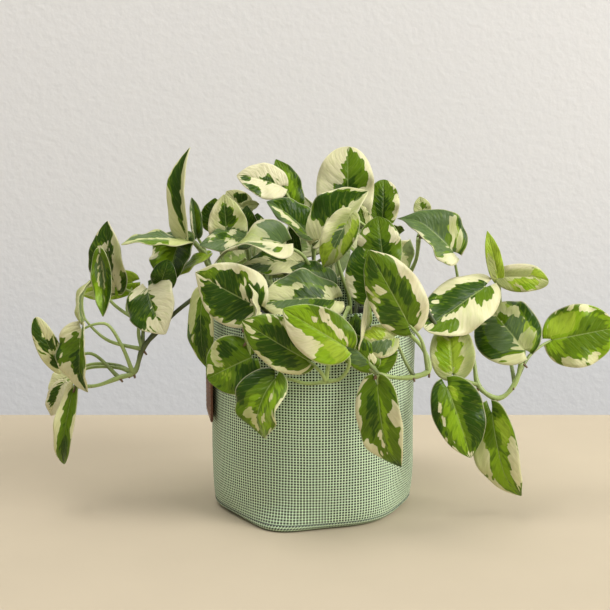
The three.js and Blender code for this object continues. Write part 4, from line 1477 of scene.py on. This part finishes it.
@dataclass
class Tube:
    """A round stalk along a curve, whose radius and age change on the way."""

    line: list[Vector]
    radius: Callable[[float], float]
    age: Callable[[float], float]
    bark: float = 0.0
    sides: int = 10
    least_radius: float = 0.05

    def add_to(self, shape: Mesh) -> None:
        """Adds the closed tube to a mesh, ring by ring.

        Args:
            shape: The mesh, with the layers age and bark.
        """
        age_layer = shape.verts.layers.float["age"]
        bark_layer = shape.verts.layers.float["bark"]
        last = len(self.line) - 1
        place = self.ring_place(0, None)
        verts = bmesh.ops.create_circle(shape, cap_ends=True, segments=self.sides, radius=1.0,
                                        matrix=place)["verts"]
        edges = list({edge for vert in verts for edge in vert.link_edges})
        for i in range(last + 1):
            if i:
                following = self.ring_place(i, place.to_3x3().normalized())
                grown = bmesh.ops.extrude_edge_only(shape, edges=edges)["geom"]
                verts = [part for part in grown if isinstance(part, bmesh.types.BMVert)]
                edges = [part for part in grown if isinstance(part, bmesh.types.BMEdge)
                         and all(vert in verts for vert in part.verts)]
                bmesh.ops.transform(shape, matrix=following @ place.inverted(), verts=verts)
                place = following
            for vert in verts:
                vert[age_layer] = self.age(i / last)
                vert[bark_layer] = self.bark
        bmesh.ops.contextual_create(shape, geom=edges)

    def ring_place(self, i: int, turn: Matrix | None) -> Matrix:
        """Works out the place of a ring as a matrix that turns, scales and moves a unit circle.

        Args:
            i: The ring's number.
            turn: The turn of the ring before, or None for the first.

        Returns:
            The matrix, in metres.
        """
        last = len(self.line) - 1
        ahead = self.line[min(i + 1, last)] - self.line[max(i - 1, 0)]
        ahead.normalize()
        if turn is None:
            turn = ahead.to_track_quat("Z", "Y").to_matrix()
        bend = turn.col[2].rotation_difference(ahead).to_matrix()
        size = max(self.radius(i / last), self.least_radius) * MM
        return (Matrix.Translation(self.line[i] * MM) @ (bend @ turn).to_4x4()
                @ Matrix.Scale(size, 4))


@dataclass
class Stalks:
    """The stem, petioles and aerial roots of one vine, as one piece."""

    plan: VinePlan
    blades: Blades
    spacing: float = 2.5
    stem_radius: float = 1.9
    stem_taper: float = 0.3
    slimness: float = 0.9
    swelling: float = 0.45
    swelling_reach: float = 3.0
    age_blend: float = 0.3
    oldest: float = 1.1
    petiole_radius: float = 1.2
    petiole_start: float = 1.15
    petiole_taper: float = 0.35
    petiole_swelling: float = 0.35
    petiole_swelling_end: float = 12.0
    rib_radius: float = 0.75
    rib_depth: float = 1.05
    rib_taper: float = 0.85
    rib_end: float = 0.88
    root_radius: float = 1.15
    root_taper: float = 0.5
    root_bend: float = 0.8
    root_spacing: float = 1.2
    root_bark: float = 0.85

    def stem_line(self) -> list[Vector]:
        """Returns the stem's curve from inside the soil to its tip."""
        start = [(*self.plan.root, SOIL_TOP + lift) for lift in STEM_LIFTS]
        return curve_through([*start, *self.plan.stem], self.spacing)

    def node_number(self, line: Sequence[Vector], row: Leaf) -> int:
        """Returns the number of the stem line's point that a leaf's petiole leaves."""
        return nearest(line, Vector(self.plan.stem[row.node]))

    def build(self) -> Mesh:
        """Builds the vine's stem, petioles and aerial roots.

        Returns:
            Their mesh, with its layers.
        """
        shape = bmesh.new()
        for name in ("age", "bark"):
            shape.verts.layers.float.new(name)
        line = self.stem_line()
        nodes = [self.node_number(line, row) for row in self.plan.leaves]
        self.add_stem(shape, line, nodes)
        for i, node in enumerate(nodes):
            self.add_petiole(shape, line[node], i)
        self.add_roots(shape, line, nodes)
        return shape

    def add_stem(self, shape: Mesh, line: list[Vector], nodes: Sequence[int]) -> None:
        """Adds the stem, older towards its root and swollen at its nodes.

        Args:
            shape: The vine's mesh of stalks.
            line: The stem's curve.
            nodes: The numbers of the points that petioles leave.
        """
        last = len(line) - 1
        reach = self.swelling_reach / len(line)

        def radius(t: float) -> float:
            """Works out the stem's radius.

            Args:
                t: The share of its way.

            Returns:
                The radius, in millimetres.
            """
            near = max(math.exp(-((t - node / last) / reach) ** 2) for node in nodes)
            return (self.stem_radius * (1.0 - self.stem_taper * t)
                    * (self.slimness + self.swelling * near))

        def age(t: float) -> float:
            """Returns the stem's age at a share of its way."""
            return self.oldest - smooth((t - self.plan.woody) / self.age_blend + 0.5)

        Tube(line, radius, age).add_to(shape)

    def add_petiole(self, shape: Mesh, start: Vector, i: int) -> None:
        """Adds one leaf's petiole, which runs on as the raised midrib behind the blade.

        Args:
            shape: The vine's mesh of stalks.
            start: The point of the stem that it leaves.
            i: The leaf's number.
        """
        rib = []
        for k in range(RIB_STEPS + 1):
            share = k / RIB_STEPS
            depth = self.rib_depth * (1 - 0.5 * share)
            rib.append(self.blades.behind_rib(i, self.rib_end * share, depth))
        path = curve_through([start, *self.plan.leaves[i].via, *rib], self.spacing)
        joint = max(1, nearest(path, rib[0])) / (len(path) - 1)
        old = random.Random(AGE_SEEDS_PER_VINE * self.blades.order + i).choice(PETIOLE_AGES)
        end = self.petiole_radius * (self.petiole_start - self.petiole_taper)

        def radius(t: float) -> float:
            """Works out the stalk's radius.

            Args:
                t: The share of its way.

            Returns:
                The radius, in millimetres.
            """
            if t > joint:
                return self.rib_radius * (1.0 - self.rib_taper * (t - joint) / (1.0 - joint))
            share = t / joint
            swollen = self.petiole_swelling * math.exp(-self.petiole_swelling_end * share)
            plain = self.petiole_radius * (
                self.petiole_start - self.petiole_taper * share + swollen)
            return plain + (self.rib_radius - end) * share ** 4

        Tube(path, radius, lambda t: old * max(0.0, 1.0 - t / joint), sides=8).add_to(shape)

    def add_roots(self, shape: Mesh, line: Sequence[Vector], nodes: Sequence[int]) -> None:
        """Adds the short aerial roots that stand out of the stem's nodes.

        Args:
            shape: The vine's mesh of stalks.
            line: The stem's curve.
            nodes: The numbers of the points that petioles leave.
        """
        draw = random.Random(ROOT_SEED + self.blades.order)
        for node in sorted(set(nodes))[1:]:
            at = line[node]
            for _ in range(draw.choice(ROOTS_PER_NODE)):
                out = Vector((draw.uniform(-1, 1), draw.uniform(-1, 0.4), draw.uniform(-1.2, 0.2)))
                out.normalize()
                length = draw.uniform(3.0, 4.6)
                bend = Vector((draw.uniform(-1, 1), draw.uniform(-1, 1), -1.0)) * self.root_bend
                root = curve_through([at, at + out * length * 0.6, at + out * length + bend],
                                     self.root_spacing)
                Tube(root, lambda t: self.root_radius - self.root_taper * t, lambda t: 1.0,
                     bark=self.root_bark, sides=6).add_to(shape)


@dataclass
class LeafyStem:
    """One vine: its stalks and its blades."""

    name: str
    plan: VinePlan
    order: int

    def build(self) -> None:
        """Builds and registers the vine's two pieces."""
        blades = Blades(self.plan, self.order)
        stalks = Stalks(self.plan, blades)
        register(self.name + "_blades", blades.build(), "plant", BLADE, stands_for=(self.name,))
        register(self.name + "_stalks", stalks.build(), "plant", STEM)


# The cover, the pot and what they hold


def spun(profile: Profile, step: float, steps: int) -> Mesh:
    """Turns a closed profile that starts and ends on the axis into a closed body.

    Args:
        profile: Radius and height of its points, in millimetres.
        step: The greatest distance between its points, which more are added for.
        steps: The number of steps around.

    Returns:
        The new mesh, in metres.
    """
    fine = subdivided(profile, step)
    shape = bmesh.new()
    r, z = fine[0]
    tip = bmesh.ops.create_vert(shape, co=(r * MM, 0.0, z * MM))["vert"][0]
    for (r0, z0), (r1, z1) in zip(fine, fine[1:]):
        tip = bmesh.ops.extrude_vert_indiv(shape, verts=[tip])["verts"][0]
        bmesh.ops.translate(shape, verts=[tip], vec=((r1 - r0) * MM, 0.0, (z1 - z0) * MM))
    bmesh.ops.spin(shape, geom=[*shape.verts, *shape.edges], cent=(0, 0, 0), axis=(0, 0, 1),
                   angle=2 * math.pi, steps=steps, use_merge=True)
    bmesh.ops.remove_doubles(shape, verts=shape.verts, dist=WELD)
    bmesh.ops.recalc_face_normals(shape, faces=shape.faces)
    return shape


def subdivided(profile: Profile, step: float) -> list[tuple[float, float]]:
    """Adds points to a profile.

    Args:
        profile: Radius and height of its points.
        step: The greatest distance that two may lie apart.

    Returns:
        The profile with its old and new points.
    """
    fine = [profile[0]]
    for (r0, z0), (r1, z1) in zip(profile, profile[1:]):
        count = max(1, math.ceil(math.hypot(r1 - r0, z1 - z0) / step))
        fine += [(r0 + (r1 - r0) * k / count, z0 + (z1 - z0) * k / count)
                 for k in range(1, count + 1)]
    return fine


@dataclass(frozen=True)
class FootFold:
    """A soft fold of the cover's foot, which stands out or is tucked in at one side."""

    azimuth: float
    spread: float
    reach: float
    height: float

    def reach_at(self, azimuth: float, z: float) -> float:
        """Returns how far the fold pushes the wall out, at an angle in radians and a height."""
        near = math.exp(-(degrees_past(azimuth, self.azimuth) / self.spread) ** 2)
        return self.reach * near * max(0.0, 1 - z / self.height) ** 2


FOOT_FOLDS = (
    FootFold(250, 16, 7.5, 20), FootFold(207, 17, -5.0, 28), FootFold(302, 20, -3.0, 18),
    FootFold(345, 20, -5.0, 34), FootFold(60, 24, -3.5, 26), FootFold(105, 18, 2.5, 22),
    FootFold(150, 18, -3.0, 24), FootFold(20, 16, 1.5, 20),
)


@dataclass
class FabricCover:
    """The woven cover, with a hemmed rim and a foot that is gathered into soft puckers."""

    radius: float = 70.0
    height: float = 145.0
    wall: float = 1.6
    floor: float = 1.8
    lining_top: float = 6.0
    still_radius: float = 55.0
    pucker_count: int = 7
    pucker_depth: float = 1.1
    pucker_height: float = 38.0
    pucker_turn: float = 0.6
    hem_height: float = 7.0
    hem_rise: float = 0.35
    sag: float = 0.5
    sag_rates: tuple[float, float] = (2.2, 1 / 45)
    seam_height: float = 5.0
    seam_slant: float = 1.1
    seam_azimuth: float = 292.0
    seam_spread: float = 44.0
    mesh_step: float = 3.0
    steps: int = 240

    def profile(self) -> list[tuple[float, float]]:
        """Lays out the cover's outline.

        Returns:
            Its points from the middle of the base, over the rim, to the inner floor.
        """
        r, h, inner, rise = self.radius, self.height, self.radius - self.wall, self.hem_rise
        hem = h - self.hem_height
        foot = [(0, 0), (61, 0), (64, 0.3), (66.2, 0.9), (67.8, 2.2), (68.7, 3.6), (68.75, 4.6),
                (68.4, self.seam_height), (68.7, 5.6), (68.9, 9), (69, 12), (69.3, 38)]
        rim = [(r - 0.05, hem - 1), (r - 0.3, hem), (r + rise, hem + 0.8), (r + rise, h - 1),
               (r - 0.1, h), (inner + 0.2, h), (inner - 0.2, h - 1), (inner, hem)]
        inside = [(inner - 0.7, 38), (inner - 1, 12), (inner - 1.7, 6), (inner - 3, 3),
                  (64, self.floor), (0, self.floor)]
        return foot + rim + inside

    def swell(self, azimuth: float, z: float) -> float:
        """Works out how far the wall stands out from its round form.

        Args:
            azimuth: The angle around, in radians.
            z: The height, in millimetres.

        Returns:
            The distance, in millimetres.
        """
        fade = max(0.0, 1.0 - z / self.pucker_height)
        pucker = math.cos(self.pucker_count * azimuth + self.pucker_turn)
        around, up = self.sag_rates
        at = Vector((around * math.cos(azimuth), around * math.sin(azimuth), z * up))
        return (self.pucker_depth * fade * pucker + self.sag * noise.noise(at)
                + sum(fold.reach_at(azimuth, z) for fold in FOOT_FOLDS))

    def build(self) -> None:
        """Builds and registers the cover."""
        shape = spun(self.profile(), self.mesh_step, self.steps)
        uv_layer = shape.loops.layers.uv.new("cloth")
        for face in shape.faces:
            self.lay_cloth(face, uv_layer)
            z = face.calc_center_median().z / MM
            on_floor = self.floor - 0.3 < z < self.lining_top and face.normal.z > 0.5
            face.material_index = 1 if on_floor else 0
        for vert in shape.verts:
            x, y, z = vert.co / MM
            reach = math.hypot(x, y)
            if reach >= self.still_radius:
                swell = self.swell(math.atan2(y, x), z) / reach * MM
                vert.co.x += swell * x
                vert.co.y += swell * y
        register("woven_cover", shape, "fabric", WEAVE, LINING, stands_for=("fabric_cover",))

    def lay_cloth(self, face: bmesh.types.BMFace, uv_layer: bmesh.types.BMLayerItem) -> None:
        """Sets a face's cloth coordinates, in metres: round the wall and up it.

        Args:
            face: The face, before it is puckered.
            uv_layer: The layer of the cloth coordinates.
        """
        middle = face.calc_center_median()
        centre = math.atan2(middle.y, middle.x)
        around = WEAVE.pitch * round(2 * math.pi * self.radius * MM / WEAVE.pitch)
        for loop in face.loops:
            x, y, z = loop.vert.co
            if abs(face.normal.z) > 0.9:
                loop[uv_layer].uv = (x, y)
                continue
            turn = (math.atan2(y, x) - centre + math.pi) % (2 * math.pi) - math.pi + centre
            off = degrees_past(turn, self.seam_azimuth)
            slant = self.seam_slant * math.exp(-(off / self.seam_spread) ** 4)
            slant *= max(0.0, self.seam_height * MM - z)
            loop[uv_layer].uv = (turn / (2 * math.pi) * around + slant, z)


@dataclass
class NurseryPot:
    """The thin black pot inside the cover, with a turned-out lip."""

    rim_radius: float = 65.0
    radius: float = 61.5
    foot_radius: float = 47.0
    wall: float = 1.2
    foot: float = 2.1
    height: float = 124.0
    lip: float = 5.0
    edge: float = 0.6
    mesh_step: float = 8.0
    steps: int = 128

    def profile(self) -> list[tuple[float, float]]:
        """Lays out the pot's outline.

        Returns:
            Its points from the middle of the base, over the lip, to the inner floor.
        """
        top = self.foot + self.height
        under_lip = top - self.lip
        r, rim, edge, inner = self.radius, self.rim_radius, self.edge, self.radius - self.wall
        return [(0, self.foot), (self.foot_radius - 1, self.foot),
                (self.foot_radius, self.foot + 1), (r - 0.2, under_lip - 1), (r, under_lip),
                (rim - edge, under_lip), (rim, under_lip + edge), (rim, top - edge),
                (rim - edge, top), (inner + edge, top), (inner, top - edge),
                (inner, under_lip - 1), (self.foot_radius - self.wall, self.foot + 2),
                (0, self.foot + self.wall)]

    def build(self) -> None:
        """Builds and registers the pot."""
        shape = spun(self.profile(), self.mesh_step, self.steps)
        register("inner_pot", shape, "plastic", POT_PLASTIC, stands_for=("nursery_pot",))


@dataclass
class PottingMix:
    """The heaped potting mix with chips of bark on it."""

    radius: float = 59.8
    top: float = SOIL_TOP
    depth: float = 16.0
    relief: float = 1.8
    heaps: tuple[float, float] = (16.0, 0.7)
    crumbs: tuple[float, float] = (4.0, 0.35)
    mesh_step: float = 2.0
    steps: int = 180
    chip_seed: int = 41
    chip_count: int = 260
    chip_size: float = 4.0
    chip_bevel: float = 0.12

    def height_at(self, x: float, y: float) -> float:
        """Works out the mix's height at a place.

        Args:
            x: The place to the right, in millimetres.
            y: The place to the back, in millimetres.

        Returns:
            The height, in millimetres.
        """
        swell = 0.0
        for (size, share), layer in ((self.heaps, 3.0), (self.crumbs, 8.0)):
            swell += share * noise.noise(Vector((x / size, y / size, layer)))
        return self.top + self.relief * swell

    def build(self) -> None:
        """Builds and registers the mix and its chips."""
        under = self.top - self.depth
        outline = [(0, self.top), (self.radius, self.top), (self.radius - 0.8, under), (0, under)]
        shape = spun(outline, self.mesh_step, self.steps)
        for vert in shape.verts:
            if vert.co.z > (self.top - 0.5) * MM:
                vert.co.z = self.height_at(vert.co.x / MM, vert.co.y / MM) * MM
        register("mix_bed", shape, "soil", MIX, stands_for=("soil",))
        register("bark_chips", self.chips(), "soil", BARK)

    def chips(self) -> Mesh:
        """Strews the chips of bark from a seeded draw.

        Returns:
            Their mesh.
        """
        shape = bmesh.new()
        draw = random.Random(self.chip_seed)
        for _ in range(self.chip_count):
            reach = (self.radius - 3) * math.sqrt(draw.random())
            azimuth = draw.uniform(0, 2 * math.pi)
            x, y = reach * math.cos(azimuth), reach * math.sin(azimuth)
            size = self.chip_size * draw.uniform(0.4, 1.3)
            sizes = (size, size * draw.uniform(0.4, 0.8), size * draw.uniform(0.2, 0.45))
            place = Matrix.Translation(Vector((x, y, self.height_at(x, y) + 0.3)) * MM)
            turn = Matrix.Rotation(draw.uniform(0, 6.3), 4, "Z")
            tilt = Matrix.Rotation(draw.uniform(-0.6, 0.6), 4, "X")
            scale = Matrix.Diagonal((*(s * MM for s in sizes), 1.0))
            add_block(shape, place @ turn @ tilt @ scale, size * self.chip_bevel)
        return shape


@dataclass
class SideTag:
    """The small stiff tag on the cover's side, left bare, with a stitched edge."""

    width: float = 38.0
    height: float = 50.0
    thickness: float = 1.6
    corner: float = 2.0
    rim: float = 0.3
    bottom: float = 63.0
    azimuth: float = 188.0
    inner_radius: float = 70.3
    stitch_inset: float = 2.2
    stitch_pitch: float = 3.0
    stitch_length: float = 0.65
    stitch_width: float = 0.45
    stitch_depth: float = 0.4
    stitch_bevel: float = 0.12

    def place(self) -> Matrix:
        """Works out the tag's place.

        Returns:
            The matrix from its own axes, with its face along +X, to the plant's frame.
        """
        out = self.inner_radius + self.thickness / 2
        shift = Vector((out, 0.0, self.bottom + self.height / 2)) * MM
        return Matrix.Rotation(math.radians(self.azimuth), 4, "Z") @ Matrix.Translation(shift)

    def build(self) -> None:
        """Builds and registers the tag and its stitches."""
        shape = bmesh.new()
        sizes = (self.thickness * MM, self.width * MM, self.height * MM, 1.0)
        bmesh.ops.create_cube(shape, size=1.0, matrix=Matrix.Diagonal(sizes))
        corners = [edge for edge in shape.edges
                   if abs(edge.verts[0].co.x - edge.verts[1].co.x) > 0.5 * self.thickness * MM]
        bevel(shape, corners, self.corner, 5)
        rims = [edge for edge in shape.edges if len(edge.link_faces) == 2
                and {abs(round(face.normal.x)) for face in edge.link_faces} == {0, 1}]
        bevel(shape, rims, self.rim, 2)
        bmesh.ops.transform(shape, matrix=self.place(), verts=shape.verts)
        register("bare_tag", shape, "label", TAG_HIDE, stands_for=("label",))
        register("tag_stitches", self.stitches(), "label", TAG_THREAD)

    def stitches(self) -> Mesh:
        """Makes the short stitches along the tag's edge.

        Returns:
            Their mesh.
        """
        shape = bmesh.new()
        half_w = self.width / 2 - self.stitch_inset
        half_h = self.height / 2 - self.stitch_inset
        out = self.thickness / 2 + 0.05
        length = self.stitch_pitch * self.stitch_length
        for side in (-1, 1):
            for half, other, is_upright in ((half_h, half_w, True), (half_w, half_h, False)):
                count = int(2 * half / self.stitch_pitch)
                for k in range(count):
                    at = -half + (k + 0.5) * 2 * half / count
                    y, z = (side * other, at) if is_upright else (at, side * other)
                    size_y, size_z = self.stitch_width, length
                    if not is_upright:
                        size_y, size_z = size_z, size_y
                    scale = Matrix.Diagonal((self.stitch_depth * MM, size_y * MM, size_z * MM, 1.0))
                    shift = Matrix.Translation(Vector((out, y, z)) * MM)
                    add_block(shape, self.place() @ shift @ scale, self.stitch_bevel)
        return shape


# The setting

AIM = (0.0, 0.0, 0.13)


@dataclass(frozen=True)
class TableFinish(Finish):
    """A matt pale table."""

    name: str = "pale_table"
    colour: Colour = (0.535, 0.46, 0.34)
    darkness: float = 0.9
    mottle: float = 14.0
    mottle_band: Band = Band(0.3, 0.7, 0.25)
    roughness: float = 0.85

    def fill(self, shader: Shader) -> None:
        """Fills the table's node tree.

        Args:
            shader: The material's node tree.
        """
        mottle = shader.step(shader.noise(shader.place(), self.mottle, 5.0), *self.mottle_band)
        darker = tuple(self.darkness * part for part in self.colour)
        shader.surface(shader.mix(mottle, self.colour, darker), self.roughness,
                       Specular_IOR_Level=0.2)


@dataclass(frozen=True)
class WallFinish(Finish):
    """A wall with a light peel, which is see-through from behind."""

    name: str = "pale_wall"
    colour: Colour = (0.80, 0.80, 0.80)
    peel: float = 170.0
    peel_depth: float = 0.8 * MM

    def fill(self, shader: Shader) -> None:
        """Fills the wall's node tree.

        Args:
            shader: The material's node tree.
        """
        peel = shader.bump(shader.noise(shader.place(), self.peel), self.peel_depth, 0.5)
        front = shader.node("BsdfDiffuse", {"Color": self.colour, "Normal": peel})
        clear = shader.node("BsdfTransparent")
        back = shader.node("NewGeometry").outputs["Backfacing"]
        shader.close(shader.node("MixShader", {0: back, 1: front.outputs[0],
                                               2: clear.outputs[0]}))


@dataclass(frozen=True)
class Sheet:
    """A flat sheet of the setting, turned about X and moved to its place."""

    name: str
    size: tuple[float, float]
    place: Point
    tilt: float
    finish: Finish

    def build(self) -> bpy.types.Object:
        """Builds the sheet.

        Returns:
            Its object.
        """
        shape = bmesh.new()
        matrix = (Matrix.Translation(self.place) @ Matrix.Rotation(math.radians(self.tilt), 4, "X")
                  @ Matrix.Diagonal((self.size[0] / 2, self.size[1] / 2, 1.0, 1.0)))
        bmesh.ops.create_grid(shape, x_segments=2, y_segments=2, size=1.0, matrix=matrix)
        return add_object(self.name, shape, self.finish)


@dataclass
class Setting:
    """A pale table and a light wall behind it, neither of which is part of the plant."""

    table: Sheet = Sheet("table_top", (3.0, 2.2), (0.0, -0.874, 0.0), 0.0, TableFinish())
    wall: Sheet = Sheet("back_wall", (4.0, 3.0), (0.0, 0.42, 0.4), 90.0, WallFinish())

    def build(self) -> None:
        """Builds the table and the wall."""
        table, wall = self.table.build(), self.wall.build()


@dataclass(frozen=True)
class SoftLight:
    """A large soft lamp that points at the plant."""

    name: str
    place: Point
    size: float
    power: float
    colour: Colour = (1.0, 1.0, 1.0)
    gloss: float = 0.6

    def build(self) -> None:
        """Builds the lamp."""
        data = bpy.data.lights.new(self.name, "AREA")
        data.shape = "DISK"
        data.size = self.size
        data.energy = self.power
        data.color = self.colour
        data.specular_factor = self.gloss
        lamp = bpy.data.objects.new(self.name, data)
        lamp.location = self.place
        aim = Vector(AIM) - Vector(self.place)
        lamp.rotation_euler = aim.to_track_quat("-Z", "Y").to_euler()
        bpy.context.scene.collection.objects.link(lamp)


@dataclass
class Studio:
    """The lamps and the soft light from all round."""

    lamps: tuple[SoftLight, ...] = (
        SoftLight("key", (2.5, -1.3, 1.9), 2.0, 94.0, (1.0, 0.98, 0.95)),
        SoftLight("side", (1.2, 0.25, 0.35), 0.5, 3.0, (1.0, 1.0, 0.98), 0.1),
        SoftLight("fill", (-1.2, -1.8, 1.0), 1.2, 1.5, (0.97, 0.98, 1.0), 0.2),
        SoftLight("top", (-0.7, -0.1, 2.2), 1.4, 28.0, (1.0, 0.98, 0.94), 0.2),
    )
    sky: Colour = (0.98, 0.98, 1.0)
    sky_power: float = 0.3

    def build(self) -> None:
        """Builds the lamps and the world."""
        for lamp in self.lamps:
            lamp.build()
        world = bpy.data.worlds.new("soft_sky")
        world.use_nodes = True
        background = world.node_tree.nodes["Background"]
        background.inputs["Color"].default_value = (*self.sky, 1.0)
        background.inputs["Strength"].default_value = self.sky_power
        bpy.context.scene.world = world
        bpy.context.scene.view_settings.view_transform = "Standard"


@dataclass
class PhotoCamera:
    """The camera at the photograph's viewing angle."""

    lens: float = 96.2
    sensor: float = 36.0
    place: Point = (-0.0052, -1.090, 0.354)
    tilt: float = 78.8

    def build(self) -> None:
        """Builds the camera and makes it the scene's."""
        data = bpy.data.cameras.new("photo_camera")
        data.sensor_width = self.sensor
        data.lens = self.lens
        camera = bpy.data.objects.new("photo_camera", data)
        camera.location = self.place
        camera.rotation_euler = (math.radians(self.tilt), 0.0, 0.0)
        bpy.context.scene.collection.objects.link(camera)
        bpy.context.scene.camera = camera


def main() -> None:
    """Builds the plant, its pot and cover, and the setting, in order."""
    logging.basicConfig(level=logging.INFO, format="%(name)s: %(message)s")
    FabricCover().build()
    NurseryPot().build()
    PottingMix().build()
    SideTag().build()
    for order, (name, plan) in enumerate(VINES.items()):
        LeafyStem(name, plan, order).build()
    Setting().build()
    Studio().build()
    PhotoCamera().build()


if __name__ == "__main__":
    main()
